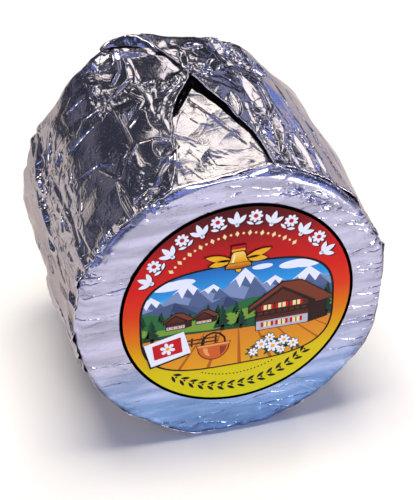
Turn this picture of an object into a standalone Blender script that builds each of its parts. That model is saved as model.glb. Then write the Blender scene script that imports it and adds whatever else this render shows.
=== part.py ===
"""Drum of semi-hard cheese shut in crinkled aluminium foil, lying on its side.

The drum's axis runs along Y and its labelled face looks along -Y, upright. The origin is on the
surface the drum lies on, under the middle of its box. The foil goes once round the drum: its left
end and, on top of that, its right end meet in two slanting free edges at the top, and between
them, near the front, a triangle of the layer below shows. The foil is gathered in pleats on the
back face. Angles are in degrees round the axis, from the top towards +X, and depths are measured
from the front face towards the back.
"""

import math

import bmesh
import bpy
from mathutils import Vector, noise

MM = 0.001

# Drum
RADIUS = 55 * MM
LENGTH = 95 * MM
AXIS_HEIGHT = 55 * MM
FRONT_FILLET = 3.6 * MM
BACK_FILLET = 7 * MM
COLUMNS = 108
SIDE_ROW = 5 * MM
FILLET_STEPS = 4
RING_MIDDLE = 46.5 * MM
BACK_RINGS = (0.76, 0.6, 0.44, 0.28, 0.14, 0)
MERGE_DISTANCE = 0.01 * MM

# The front lip: the foil's right end stands proud of the front face along its rim
LIP = 0.9 * MM
LIP_PULL = 2 * LIP
LIP_WIDTH = 0.75 * FRONT_FILLET
LIP_FROM, LIP_TO = 14, 72
FACE_Y = (LIP - LENGTH) / 2

# Label and its shallow seat
LABEL_RADIUS = 41 * MM
LABEL_SHIFT_X = 1.15 * MM
LABEL_SHIFT_Z = 1.55 * MM
LABEL_THICKNESS = 0.3 * MM
LABEL_SEGMENTS = 96
LABEL_PROUD = 0.1 * MM
GAP = 0.3 * MM
SEAT_RADIUS = LABEL_RADIUS + GAP
SEAT_DEPTH = GAP + LABEL_THICKNESS - LABEL_PROUD

# Free edges of the foil's two ends, as (depth in mm, angle) from the front to the back
RIGHT_EDGE = ((0, 14.5), (10, 14.5), (22, 13.5), (31, 10), (40, 8), (50, 4), (58, 2),
              (66, 0), (77, -4), (95, -9))
LEFT_EDGE = ((0, -23), (10, -18), (19, -15), (28, -13), (38, -11), (43, -9), (58, 1), (95, 1))
EDGE_HALF = 0.5
LEAST_WIDTH = 2.4

# How far each end stands off the layer below, as (depth in mm, mm), and how fast that fades
RIGHT_LIFT = ((0, 0.9), (12, 1.4), (40, 1.9), (56, 1.8), (70, 1.5), (95, 1.2))
LEFT_LIFT = ((0, 0.2), (36, 0.3), (44, 1.0), (58, 1.1), (95, 1.0))
RIGHT_FADE = 30
LEFT_FADE = 22

# Columns of the spun drum that become the free edges
LEFT_COLUMN = -6
RIGHT_COLUMN = 4

# Swells and hollows of the foil: angle, half width, depth mm, half width mm, height mm
SWELLS = (
    (-20, 16, 95, 13, 3.4),
    (-8, 11, 95, 14, 2.5),
    (-62, 36, 92, 18, -1.3),
    (-52, 10, 92, 14, -0.8),
    (10, 22, 92, 20, -0.8),
    (23, 9, 92, 14, -0.6),
    (47, 19, 92, 22, -2.3),
    (67, 17, 42, 24, 1.0),
    (64, 16, 6, 16, -1.0),
    (94, 19, 0, 14, -1.7),
    (120, 16, 0, 12, 0.9),
    (150, 20, 0, 14, 0.9),
    (-101, 12, 40, 14, 0.7),
    (-104, 14, 78, 14, -0.9),
    (-110, 24, 0, 18, -0.8),
    (-141, 24, 0, 18, -0.5),
)

# Strip pressed flat by the drum's weight: half its angle, and the angle over which it fades out
REST_HALF = 13.5
REST_FADE = 12
REST_PRESS = 0.05 * MM

# Crumpling: size of a crumple and its height
COARSE_CRUMPLE = 15 * MM
COARSE_HEIGHT = 0.75 * MM
FINE_CRUMPLE = 6.5 * MM
FINE_HEIGHT = 0.55 * MM

# Smooth panels: angle, half width, depth mm, half width mm
PANELS = ((-44, 15, 22, 26), (-40, 14, 45, 18), (-3, 12, 25, 30), (34, 5, 45, 30))

# Finishes: colour, metallic, roughness; and the angle in degrees from which an edge is sharp
FOIL = ((0.78, 0.79, 0.8), 1, 0.25)
PAPER = ((0.75, 0.1, 0.05), 0, 0.45)
SHARP_FROM = 15

# Gathered back
PLEATS = 18
PLEAT_HEIGHT = 1.1 * MM
PLEAT_TWIST = 35
KNOT_RADIUS = 9 * MM


def along(table, depth):
    """Read a value off a table of (depth in mm, value) by straight lines."""
    depth_mm = depth / MM
    for (start, first), (end, last) in zip(table, table[1:]):
        if depth_mm <= end:
            share = max(depth_mm - start, 0) / (end - start)
            return first + (last - first) * share
    return table[-1][1]


def turn_between(angle, middle):
    """Signed angle from middle to angle, between -180 and 180."""
    return (angle - middle + 180) % 360 - 180


def bell(offset, half_width):
    """A hump of height 1 that falls smoothly to 0 at half_width."""
    share = min(abs(offset) / half_width, 1)
    return 0.5 + 0.5 * math.cos(math.pi * share)


def edge_angles(depth):
    """Angles of the left and the right free edge at a depth."""
    right = along(RIGHT_EDGE, depth)
    return min(along(LEFT_EDGE, depth), right - LEAST_WIDTH), right


def warped_angle(angle, depth):
    """Slide the drum's even columns so that columns lie along both free edges."""
    column = 360 / COLUMNS
    left, right = edge_angles(depth)
    knots = (
        (-180, -180),
        (LEFT_COLUMN * column, left - EDGE_HALF),
        ((LEFT_COLUMN + 1) * column, left + EDGE_HALF),
        ((RIGHT_COLUMN - 1) * column, right - EDGE_HALF),
        (RIGHT_COLUMN * column, right + EDGE_HALF),
        (180, 180),
    )
    for (start, first), (end, last) in zip(knots, knots[1:]):
        if angle <= end:
            return first + (last - first) * (angle - start) / (end - start)
    return angle


def lift(angle, depth):
    """Height of the foil's overlapping ends over the layer below."""
    left, right = edge_angles(depth)
    left_height = along(LEFT_LIFT, depth) * MM
    if angle > right:
        return along(RIGHT_LIFT, depth) * MM * math.exp((right - angle) / RIGHT_FADE)
    if angle < left:
        return left_height * math.exp((angle - left) / LEFT_FADE)
    shut = right - left < LEAST_WIDTH + EDGE_HALF
    return left_height if shut else 0


def swell(angle, depth):
    """Slow swells and hollows of the wrapped drum."""
    height = 0
    for middle, half_width, place, half_depth, size in SWELLS:
        height += size * bell(turn_between(angle, middle), half_width) * bell(depth / MM - place, half_depth)
    return height * MM


def roughness(angle, depth):
    """1 where the foil is crumpled, down to 0 in a smooth panel."""
    calm = 0
    for middle, half_width, place, half_depth in PANELS:
        calm = max(calm, bell(turn_between(angle, middle), half_width) * bell(depth / MM - place, half_depth))
    return 1 - calm


def crumple(point, angle, depth):
    """Crumpled relief of the foil on the drum's side."""
    coarse = COARSE_HEIGHT * noise.noise(point / COARSE_CRUMPLE)
    fine = FINE_HEIGHT * noise.noise(point / FINE_CRUMPLE)
    return (coarse + fine) * roughness(angle, depth)


def pressed_flat(angle, height):
    """Replace a height near the underside by the height of the strip that the drum lies on."""
    offset = abs(turn_between(angle, 180))
    share = min(max(1 - (offset - REST_HALF) / REST_FADE, 0), 1)
    strip = (AXIS_HEIGHT + REST_PRESS) / math.cos(math.radians(min(offset, REST_HALF))) - RADIUS
    return height + (strip - height) * share


def pleats(angle, radius):
    """Overlapping pleats that turn round the middle of the back face."""
    turned = angle + PLEAT_TWIST * radius / RADIUS
    share = (turned * PLEATS / 360) % 1
    out = min(radius / KNOT_RADIUS, 1)
    return PLEAT_HEIGHT * share * out


def profile():
    """Radius and depth of the drum's outline, from the middle of the front to that of the back."""
    points = [(0, SEAT_DEPTH), (SEAT_RADIUS, SEAT_DEPTH), (SEAT_RADIUS + LABEL_PROUD, 0), (RING_MIDDLE, 0)]
    for step in range(FILLET_STEPS + 1):
        turn = math.pi / 2 * step / FILLET_STEPS
        points.append((RADIUS - FRONT_FILLET * (1 - math.sin(turn)), FRONT_FILLET * (1 - math.cos(turn))))
    straight = LENGTH - FRONT_FILLET - BACK_FILLET
    rows = round(straight / SIDE_ROW)
    for row in range(1, rows):
        points.append((RADIUS, FRONT_FILLET + straight * row / rows))
    for step in range(FILLET_STEPS + 1):
        turn = math.pi / 2 * step / FILLET_STEPS
        points.append((RADIUS - BACK_FILLET * (1 - math.cos(turn)), LENGTH - BACK_FILLET * (1 - math.sin(turn))))
    points += [(RADIUS * share, LENGTH) for share in BACK_RINGS]
    return points


def wrapped_point(point):
    """Move a point of the plain spun drum to its place on the wrapped one."""
    radius = math.hypot(point.x, point.z)
    angle = math.degrees(math.atan2(point.x, point.z))
    depth = point.y
    if radius > SEAT_RADIUS + GAP and depth < LENGTH - MM:
        angle = warped_angle(angle, depth)
    inward = max(RADIUS - radius, 0)
    on_side = bell(inward, BACK_FILLET) if depth > LENGTH / 2 else bell(inward, FRONT_FILLET)
    height = lift(angle, depth) + swell(angle, depth) + crumple(point, angle, depth)
    height = pressed_flat(angle, height)
    if depth < FRONT_FILLET and LIP_FROM < angle < LIP_TO and inward < LIP_WIDTH:
        depth -= (FRONT_FILLET - depth) / FRONT_FILLET * LIP_PULL
        depth = max(depth, -LIP)
        on_side = 1
    if point.y > LENGTH - BACK_FILLET:
        depth += (pleats(angle, radius) - PLEAT_HEIGHT) * (1 - on_side)
    radius += height * on_side
    centring = 1 - min(max((radius - SEAT_RADIUS - GAP) / (RADIUS - FRONT_FILLET - SEAT_RADIUS), 0), 1)
    if depth > LENGTH / 2:
        centring = 0
    turn = math.radians(angle)
    return Vector((
        radius * math.sin(turn) + LABEL_SHIFT_X * centring,
        FACE_Y + depth,
        max(AXIS_HEIGHT + radius * math.cos(turn) + LABEL_SHIFT_Z * centring, 0),
    ))


def finished(bm, name, finish):
    """Make the object, its mesh and its own material."""
    colour, metallic, roughness_value = finish
    bmesh.ops.recalc_face_normals(bm, faces=bm.faces)
    bmesh.ops.triangulate(bm, faces=bm.faces, quad_method='SHORT_EDGE')
    mesh = bpy.data.meshes.new(name)
    bm.to_mesh(mesh)
    bm.free()
    part = bpy.data.objects.new(name, mesh)
    bpy.context.scene.collection.objects.link(part)
    material = bpy.data.materials.new(name)
    material.use_nodes = True
    shader = material.node_tree.nodes["Principled BSDF"]
    shader.inputs["Base Color"].default_value = (*colour, 1)
    shader.inputs["Metallic"].default_value = metallic
    shader.inputs["Roughness"].default_value = roughness_value
    mesh.materials.append(material)
    mesh.shade_smooth()
    mesh.set_sharp_from_angle(angle=math.radians(SHARP_FROM))
    return part


def build_wrapped_cheese():
    """The cheese and the foil round it, one solid."""
    bm = bmesh.new()
    points = [bm.verts.new((radius, depth, 0)) for radius, depth in profile()]
    edges = [bm.edges.new(pair) for pair in zip(points, points[1:])]
    bmesh.ops.spin(
        bm, geom=points + edges, cent=(0, 0, 0), axis=(0, 1, 0), dvec=(0, 0, 0),
        angle=math.tau, steps=COLUMNS, use_merge=True, use_duplicate=False,
    )
    bmesh.ops.remove_doubles(bm, verts=bm.verts, dist=MERGE_DISTANCE)
    for vertex in bm.verts:
        vertex.co = wrapped_point(vertex.co)
    finished(bm, "wrapped_cheese", FOIL)


def build_label():
    """The round paper label on the front face."""
    bm = bmesh.new()
    bmesh.ops.create_cone(
        bm, cap_ends=True, segments=LABEL_SEGMENTS,
        radius1=LABEL_RADIUS, radius2=LABEL_RADIUS, depth=LABEL_THICKNESS,
    )
    for vertex in bm.verts:
        across, up, out = vertex.co
        back = FACE_Y + SEAT_DEPTH - GAP
        vertex.co = (
            across + LABEL_SHIFT_X,
            back - LABEL_THICKNESS / 2 - out,
            AXIS_HEIGHT + up + LABEL_SHIFT_Z,
        )
    finished(bm, "label", PAPER)


for leftover in list(bpy.data.objects):
    bpy.data.objects.remove(leftover, do_unlink=True)
build_wrapped_cheese()
build_label()
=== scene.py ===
"""Foil-wrapped drum of cheese: crinkled foil with two free ends, a printed label and a studio.

The drum's axis runs along Y and its label looks along -Y. Angles are in degrees round the axis,
from the top towards +X, and depths are in millimetres from the front face towards the back.
"""

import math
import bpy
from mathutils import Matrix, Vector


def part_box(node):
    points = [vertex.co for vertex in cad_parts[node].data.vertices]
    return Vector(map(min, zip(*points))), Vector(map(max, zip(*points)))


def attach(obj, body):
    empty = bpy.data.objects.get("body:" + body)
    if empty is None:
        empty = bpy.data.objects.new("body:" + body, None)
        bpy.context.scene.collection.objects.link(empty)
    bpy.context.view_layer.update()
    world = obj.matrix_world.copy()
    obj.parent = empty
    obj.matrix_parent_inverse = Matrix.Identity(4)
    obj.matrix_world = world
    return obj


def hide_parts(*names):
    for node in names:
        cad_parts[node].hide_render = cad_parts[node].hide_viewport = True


bl_info = {
    "name": "Foil-wrapped cheese drum",
    "version": (1, 0, 0),
    "blender": (4, 5, 0),
    "location": "View3D > Sidebar > Cheese",
    "description": "Dresses the packed cheese drum in crinkled foil and a printed label",
    "category": "Object",
}

import bmesh
import bpy
import numpy as np
from mathutils import Vector

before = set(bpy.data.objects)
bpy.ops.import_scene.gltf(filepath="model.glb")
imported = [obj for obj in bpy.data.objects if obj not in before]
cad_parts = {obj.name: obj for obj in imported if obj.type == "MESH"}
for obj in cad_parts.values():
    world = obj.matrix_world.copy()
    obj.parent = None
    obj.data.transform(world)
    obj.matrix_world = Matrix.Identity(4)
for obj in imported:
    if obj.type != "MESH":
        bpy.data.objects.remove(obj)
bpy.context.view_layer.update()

MM = 0.001


def linear(hex_colour):
    """Turn an sRGB hex colour into the linear one that shaders take."""
    channels = [int(hex_colour[i:i + 2], 16) / 255 for i in (1, 3, 5)]
    return [c / 12.92 if c <= 0.04045 else ((c + 0.055) / 1.055) ** 2.4 for c in channels]


# Places and sizes of the drum, in millimetres, read from the frame where it has them
LABEL_LOW, LABEL_HIGH = (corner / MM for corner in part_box("label"))
DRUM_LOW, DRUM_HIGH = (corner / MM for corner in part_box("wrapped_cheese"))
LABEL_RADIUS = (LABEL_HIGH.x - LABEL_LOW.x) / 2
LABEL_X = (LABEL_HIGH.x + LABEL_LOW.x) / 2
LABEL_Z = (LABEL_HIGH.z + LABEL_LOW.z) / 2

# The label lies right of and above the drum's axis, and stands proud of its face
LABEL_SHIFT_X, LABEL_SHIFT_Z = 1.15, 1.55
LABEL_PROUD = 0.1
AXIS_X = LABEL_X - LABEL_SHIFT_X
AXIS_Z = LABEL_Z - LABEL_SHIFT_Z
FACE_Y = LABEL_LOW.y + LABEL_PROUD

# The drum's own sizes, in millimetres
RADIUS = 55.0
LENGTH = DRUM_HIGH.y - FACE_Y
FRONT_FILLET = 3.6
BACK_FILLET = 7.0
FRONT_ARC = FRONT_FILLET * math.pi / 2
MM_PER_DEGREE = RADIUS * math.pi / 180

# How far the ear may stand above the CAD model's box
HEADROOM = 1.0

# Free edges of the foil's two ends: (depth mm, angle), and how uneven they are: mm, cell mm, seed
RIGHT_EDGE = (
    (-1, 14.6), (4, 14.5), (10, 14.6), (15, 14.2), (22, 13.4), (31, 10.4), (40, 7.9), (50, 4.3), (58, 2),
    (66, 0), (77, -4.2), (90, -8), (97, -10))
LEFT_EDGE = (
    (-1, -23), (3, -21.5), (10, -18.3), (19, -15.1), (28, -13), (38, -11), (43, -9.2), (50, -4.4),
    (58, 1), (66, 3), (77, 2), (97, 0))
RIGHT_WAVER = (0.18, 5, 5)
LEFT_WAVER = (0.5, 6, 3)

# How far each end stands off the layer below: (depth mm, mm)
RIGHT_LIFT = ((-1, 0.2), (12, 0.3), (25, 0.6), (42, 1.4), (56, 2.0), (66, 1.6), (80, 1.4), (97, 1.2))
LEFT_LIFT = ((-1, 0.15), (36, 0.3), (42, 0.9), (48, 1.5), (56, 1.5), (66, 1.0), (97, 0.9))

# Degrees that the dark pocket under each end reaches in: (depth mm, angle)
RIGHT_POCKET = ((-1, 3), (50, 4.5), (60, 8), (97, 12))
LEFT_POCKET = ((-1, 0.8), (38, 1.2), (45, 2.6), (97, 2.6))

# Degrees over which each end's lift dies out, and the turn of its folded edge
RIGHT_FADE, LEFT_FADE = 30, 22
RIGHT_FOLD, LEFT_FOLD = 0.12, 0.1
RIGHT_POCKET_SINK, LEFT_POCKET_SINK = 0.4, 0.3

# Where the layer between the ends dips beside them: (depth mm, mm)
RIGHT_DIP = ((-1, 0), (10, 0.2), (30, 0.7), (52, 2.4), (60, 1.5), (70, 0), (97, 0))
LEFT_DIP = ((-1, 0), (39, 0), (45, 1.6), (52, 2.2), (60, 1.5), (70, 0), (97, 0))
DIP_WIDTH = ((-1, 0.8), (30, 1.2), (55, 2.6), (97, 2.6))

# The same layer is pulled flat: how far it may sag, where that stops, over how many mm it fades, and
# the degrees to each side up to which it is worked out
FLAT_SAG, FLAT_END, FLAT_FADE, FLAT_REACH = 2.1, 66, 12, 30

# Mm that the layer lies lower than the drum's round, degrees that it runs on past the two pockets, and
# the share of the relief that it shows
INNER_SINK, INNER_OVERLAP, INNER_SHARE = 0.12, 1, 0.3

# Seeds that keep the relief of the side's layers apart
LEFT_SEED, RIGHT_SEED, INNER_SEED = 0, 5, 9

# The folded ear at the back rim: its front edge as (angle, depth mm), and its height over the left end
EAR_EDGE = ((-25, 92.5), (-23, 91.2), (-21, 90.4), (-18.5, 89.2), (-15, 88), (-10.5, 85.5), (-4, 79))
EAR_LIFT = ((-25, 6.2), (-21, 6.2), (-12, 4.6), (-4, 1.8))

# The left end sinks under the ear: mm, over an arc, from and to these mm past the ear's edge
EAR_SINK, EAR_SINK_ARC, EAR_SINK_FROM, EAR_SINK_TO = 0.9, (-13, 11), -4.8, 1.2

# The ear starts at a share of its height, rises over some mm and loses a share towards the back
EAR_START, EAR_RISE, EAR_FALL = 0.2, 2.8, 0.6

# How the ear's rims are tucked away: mm down and back at the front, mm down at the back, and the
# drop and turn of the fold at its left
EAR_TUCK, EAR_TUCK_BACK, EAR_BACK_TUCK, EAR_BACK_ROWS = 0.8, 2.5, 1.4, 4
EAR_FOLD_DROP, EAR_FOLD_TURN, EAR_FOLD_COLUMNS = 3.5, 1.0, 4
EAR_MARGIN = 3.5

# Swells and hollows of the wrapped drum: angle, half width, depth, half width, height
SWELLS = (
    (-20, 16, 95, 13, 3.4),
    (-37, 13, 95.5, 7, 1.9),
    (-66, 13, 10, 30, 1.4),
    (74, 5, 0, 5, 0.8),
    (-8, 11, 95, 14, 2.5),
    (-62, 36, 92, 18, -1.3),
    (-52, 10, 92, 14, -0.8),
    (10, 22, 92, 20, -0.8),
    (23, 9, 92, 14, -0.6),
    (47, 19, 92, 22, -2.3),
    (67, 17, 42, 24, 1.0),
    (64, 16, 6, 16, -1.0),
    (94, 19, 0, 14, -1.7),
    (120, 16, 0, 12, 0.9),
    (150, 20, 0, 14, 0.9),
    (-101, 12, 40, 14, 0.7),
    (-104, 14, 78, 14, -0.9),
    (-110, 24, 0, 18, -0.8),
    (-141, 24, 0, 18, -0.5),
)

# Strip pressed flat by the drum's weight: half its angle, the angle over which it fades out, and mm
REST_HALF, REST_FADE, REST_PRESS = 13.5, 12, 0.05

# Distance over the rounded rim at which the side's foil ends: (angle, mm), and how uneven that is
RIM_EDGE = (
    (-180, 4.4), (-60, 4.0), (-30, 3.6), (-20, 3.3), (-8, 3.9), (4, 5.0), (12, 6.4), (14.4, 6.6),
    (14.6, 5.2), (30, 4.8), (50, 4.2), (75, 4.4), (180, 4.4))
RIM_WAVER = (0.35, 3, 81)

# How far that foil stands off the rim: (angle, mm), from this distance over these mm
RIM_LIFT = (
    (-180, 0.05), (-30, 0.05), (-24, 0.3), (14, 0.3), (15, 0.7), (60, 0.5), (80, 0.1), (180, 0.05))
RIM_LIFT_FROM, RIM_LIFT_FADE = 0.7 * FRONT_ARC, 5

# Rolled beads along the rim's edge and the free edges: height and half width, in mm
RIM_BEAD, RIM_BEAD_IN, RIM_BEAD_HALF = 0.22, 0.7, 0.6
EDGE_BEAD, EDGE_BEAD_HALF = 0.25, 0.5

# Smooth panels: (angle, half width, depth, half depth, calm)
PANELS = (
    (-46, 13, 19, 22, 1.0),
    (-41, 13, 46, 12, 1.0),
    (-43, 10.5, 80, 19, 0.85),
    (-82, 9, 45, 55, 0.85),
    (-4, 13, 34, 26, 0.8),
    (34.5, 4.5, 55, 24, 0.95),
    (51, 13, 45, 56, 0.85),
    (8, 7, 82, 9, 0.8),
    (12, 4, 41, 10, 0.6),
    (22, 9, 24, 34, 0.9),
    (-20, 10, 36, 26, 0.97),
    (9, 6.5, 50, 22, 0.75),
    (-24, 10, 80, 19, 0.97),
    (-10, 11, 77, 14, 0.92),
)

# Softly dented zones: (angle, half width, depth, half depth, strength)
DENTED = (
    (-21, 9, 40, 30, 0.8),
    (-23, 9, 78, 16, 1.0),
    (-40, 12, 78, 14, 0.5),
    (-3, 14, 30, 28, 0.35),
    (8, 9, 72, 12, 0.4),
    (-9, 8, 75, 12, 0.45),
)

# Crumpled zones: (angle, half width, depth, half depth, strength)
CRUMPLED = (
    (22, 7, 80, 13, 0.9),
    (33, 4, 78, 8, 0.7),
    (5, 6, 64, 5, 0.8),
    (22, 8, 20, 27, 0.5),
    (26, 4, 44, 14, 0.3),
    (-32, 4, 4, 6, 0.9),
    (-32.5, 2.6, 72, 17, 0.6),
    (-68, 8, 45, 60, 0.5),
    (-6, 5, 52, 12, 0.7),
    (-58, 4, 50, 18, 0.5),
    (-50, 12, 2, 4, 0.8),
    (36, 4, 16, 20, 0.5),
    (60, 20, 1, 6, 0.9),
    (72, 8, 6, 12, 0.8),
    (128, 44, 48, 52, 0.55),
    (-140, 34, 48, 52, 0.5),
)

# Bundles of creases side by side: half width mm, height mm, crease spacing mm, line of (angle, depth)
BUNDLES = (
    (4.5, 0.34, 1.9, ((-14, 22), (-28, 0))),
    (3.6, 0.3, 1.7, ((-2, 62), (-13, 42))),
    (4.6, 0.7, 3.6, ((20, 0), (21, 66))),
    (3.8, 0.6, 3.0, ((26, 0), (26, 40))),
    (2.2, 0.26, 1.6, ((-36.5, 0), (-35, 24))),
    (3.6, 0.2, 2.1, ((36, 0), (35, 36))),
    (8.5, 0.8, 4.2, ((-69, -5), (-68, 95))),
    (7.5, 0.75, 3.6, ((-95, -5), (-97, 95))),
    (3.4, 0.34, 1.8, ((51, -2), (46, 45))),
    (5.0, 0.12, 2.4, ((-58, 25), (-58, 70))),
    (12.0, 0.09, 2.8, ((49, -5), (48, 95))),
    (3.0, 0.14, 1.6, ((4, 60), (15, 50))),
    (4.2, 0.5, 2.6, ((-8, 83), (-20, 88))),
    (9.5, 1.1, 6.5, ((-84, -5), (-85, 95))),
)

# Tilted plates: angle, depth, half across mm, half along mm, turn, angle that the plate looks to
PLATES = (
    (22, 50, 2.8, 16, -2, -2),
    (26.8, 50, 1.2, 10, 3, 40),
    (31.2, 16, 1.7, 17, 1, -4),
    (14.6, 56, 1.6, 5, -30, 24),
    (11.5, 40, 3.0, 10, 12, 25),
    (2.4, 72, 1.8, 6, 10, -16),
    (9, 82, 2.6, 4.5, 70, -14),
    (13, 68, 2.8, 6, 20, -12),
    (-17.5, 73, 1.2, 7, 6, -2),
    (-22, 68, 1.3, 5, 66, -5),
    (-15.6, 54, 1.0, 10, 0, -2),
    (-22.5, 51, 1.0, 5, 34, -4),
    (-26, 49, 0.9, 4, 12, -4),
    (-24.5, 44.5, 0.9, 3, 58, -3),
    (-60, 72, 2.0, 8, 32, -75),
    (-67.5, 56, 1.8, 5, 32, -78),
    (-73, 41, 1.5, 7, 0, -56),
    (-63, 48, 1.5, 11, 0, -50),
    (-70.5, 20, 1.5, 9, -12, -54),
    (-66, 33, 1.3, 4, 20, -53),
    (-55, 30, 0.9, 8.5, 25, -72),
    (-54.2, 43, 0.9, 5.5, 20, -70),
    (-58.6, 11, 0.6, 12, -6, -72),
    (-32.4, 29, 0.8, 8, 32, -22),
    (-37, 11, 0.8, 11, -2, -22),
    (-31, 73, 1.6, 3.6, 10, -22),
    (-29, 82, 1.6, 3.0, 20, -22),
    (-32.8, 66, 1.3, 2.6, 10, -22),
    (38, 13, 1.1, 13, 3, -3),
    (-84, 18, 1.3, 10, -6, -48),
    (-90, 5, 1.2, 8, 8, -52),
    (-79, 6, 1.2, 7, 10, -46),
    (-88, 38, 1.4, 8, -4, -50),
    (-94, 60, 1.3, 9, -5, -52),
    (28, 13, 1.6, 12, -2, -13),
    (24.8, 28, 2.0, 11, 8, -13),
    (20.2, 35, 1.8, 9, -6, -14),
    (18.5, 17, 1.2, 8, -10, -3),
    (21.8, 12, 1.8, 9, 6, -14),
    (25, 9, 0.9, 8, 0, -3),
)

# Sharp creases: half width mm, height mm, line of (angle, depth)
CREASES = (
    (0.5, 0.2, ((-28.6, 66), (-28, 50), (-27.6, 36))),
    (0.6, 0.26, ((-42, 34), (-38.5, 26), (-36.5, 23))),
    (0.6, 0.24, ((-54, 42), (-50, 39.5), (-46, 38.4), (-42, 37.5), (-37, 32))),
    (0.6, 0.26, ((-52, 57), (-47, 56.4), (-38, 57))),
    (0.6, 0.26, ((-40, 64), (-34, 63.4), (-27, 65.4))),
    (0.6, 0.24, ((-45, 75.4), (-38, 74.6))),
    (0.5, 0.2, ((-38, 22), (-39.5, 12), (-38.5, 0))),
    (0.5, 0.2, ((-25, 33), (-20, 30.5), (-15, 27))),
    (0.6, 0.2, ((-26, 33), (-31, 27))),
    (0.7, 0.25, ((-21, 62), (-18, 54), (-20, 50))),
    (0.8, 0.3, ((-19, 64), (-12, 63))),
    (1.2, 0.4, ((-19, 88), (-21, 78), (-25, 73))),
    (0.8, 0.25, ((-8, 44), (-3, 34), (1, 32))),
    (0.7, 0.22, ((-11, 20), (-8, 12), (-1, 6), (6, 5))),
    (0.6, 0.2, ((-14, 12), (-11, 4), (-9, 1))),
    (0.6, 0.18, ((-8, 20), (-5, 15), (-4, 9), (3, 6))),
    (0.6, 0.18, ((-9, 24), (-6, 18), (-1, 14), (8, 8))),
    (0.6, 0.2, ((-1, 18), (4, 12), (11, 9))),
    (1.1, 0.4, ((-2, 48), (3, 36), (9, 22), (13, 10))),
    (0.6, 0.15, ((-13, 30), (-9, 40), (-4, 46))),
    (0.8, -0.3, ((29.5, 70), (29.5, 50), (31.5, 36))),
    (0.9, 0.2, ((39, 72), (38.5, 44), (41, 20))),
    (0.8, 0.16, ((46, 70), (47, 30), (51, 6))),
    (0.8, -0.16, ((56, 70), (55, 40), (59, 12))),
    (0.8, 0.3, ((29, 72), (33, 69), (38, 72))),
    (2.4, 0.5, ((-70, -2), (-69, 22), (-71, 48), (-69.5, 74), (-68, 95))),
    (1.3, 0.34, ((-63, 2), (-62, 26), (-64, 52))),
    (1.4, 0.4, ((-75, 20), (-76, 44), (-74, 64))),
    (1.2, 0.4, ((-79, 0), (-80, 16), (-78, 30))),
    (2.6, 0.7, ((-74, 56), (-66, 76), (-62, 94))),
    (2.4, 0.6, ((-79, 36), (-75, 52), (-74, 70))),
    (2.4, 0.3, ((-20, 88), (-13, 86.5), (-8, 83))),
    (1.5, 0.9, ((-104, 52), (-103, 34), (-106, 10), (-109, -2))),
    (1.2, 0.6, ((-97, 24), (-101, 10), (-102, -2))),
)

# Creases in the front ring: half width mm, height mm, line of (across, up) from the axis
FACE_CREASES = (
    (0.55, 0.36, ((40.5, 13.2), (46, 15.8), (51.5, 19.2))),
    (0.4, 0.2, ((51.5, 19.2), (46.5, 22.5), (43, 24))),
    (0.4, 0.12, ((-6, 50.5), (2, 49), (10, 46), (16, 45.5), (26, 41))),
    (0.4, 0.25, ((37, 33), (43, 30), (50, 28))),
    (0.4, 0.2, ((42, 7), (47, 8), (52, 6))),
    (0.9, 0.09, ((-43, 9), (-50, 12), (-53, 16))),
    (0.9, 0.09, ((-42, -16), (-49, -20), (-52, -19))),
    (0.8, 0.09, ((-40, -26), (-44, -31), (-47, -33))),
    (0.8, 0.09, ((-34, -32), (-37, -38), (-37, -42))),
    (0.4, 0.2, ((-22, -41), (-24, -47), (-23, -50))),
    (0.4, 0.2, ((24, -40), (30, -43), (38, -41))),
    (0.5, 0.3, ((38, 27), (44.3, 26), (50, 26))),
)

# Finely crinkled places in the front ring: across, up, reach, in mm from the axis
FACE_CRINKLES = (
    (-21, 42, 6), (-39, 18, 7), (-36, -21, 7), (45, 8, 4.5), (-1, 48, 5), (33, 36, 5), (10, -46, 6))

# Crumpled arcs of the front ring: (middle angle, half width)
LEFT_RIM_PATCHES = ((-31, 9), (-61, 15))
LEFT_RIM_ARC, LOWER_RIM_ARC = (-62, 50), (155, 85)
SPARKLY_ARC, CORNER_ARC = (32, 24), (70, 9)

# Places across the ring, from 0 at the label to 1 at the rim: the sparkly band and the corner's start
SPARKLY_BAND, SPARKLY_HALF = 0.52, 0.24
CORNER_FROM, CORNER_TO = 0.5, 0.5 + 1 / 3

# Mm inside the rim at which its crumples start, and the share of the ring by the label that is calm
RIM_WIDE, RING_CALM = 2, 1 / 6

# How crumpled those places are
LEFT_RIM_LEVEL, LEFT_ARC_LEVEL, SPARKLY_LEVEL, LOWER_RIM_LEVEL = 0.5, 0.12, 0.3, 0.6
CRINKLE_LEVEL, RING_LEVEL = 0.7, 0.08

# Facets: height mm, stretch along each way, cell mm, seed. First those all over a piece
RING_FACETS = ((0.09, 0.35, 1.4, 3.5, 61), (0.14, 1, 1, 9, 62))
EAR_FACETS = ((0.5, 0.5, 1, 6, 91), (0.3, 0.4, 1.3, 2.6, 92))
BACK_FACETS = ((0.3, 1, 1, 7, 72), (0.15, 1, 1, 3, 73))

# Then those of the ring's crumpled, sparkly and left places
CRUMPLED_FACETS = ((0.55, 1, 1, 2.6, 63),)
SPARKLY_FACETS = ((0.9, 1.2, 1, 2.1, 64),)
LEFT_RIM_FACETS = ((0.4, 1, 1, 1.5, 65),)

# Facets of the side: height mm, its share in calm foil, power of the crumpling that raises it,
# stretch round and along the drum, cell mm, seed
SIDE_FACETS = (
    (0.4, 0, 0, 1, 1, 14, 11),
    (0.75, 0.12, 1, 1, 1, 7, 21),
    (0.7, 0, 1, 1.1, 0.42, 3.8, 31),
    (0.14, 0, 2, 1.1, 0.6, 2.0, 41),
)

# Thin wrinkles of the side: height mm, its share in calm foil, stretch round and along the drum,
# cell mm, half width mm, seed
SIDE_WRINKLES = (
    (0.35, 0.1, 1, 1, 8, 0.7, 61),
    (0.35, 0, 1.1, 0.55, 4.2, 0.6, 71),
)

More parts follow.
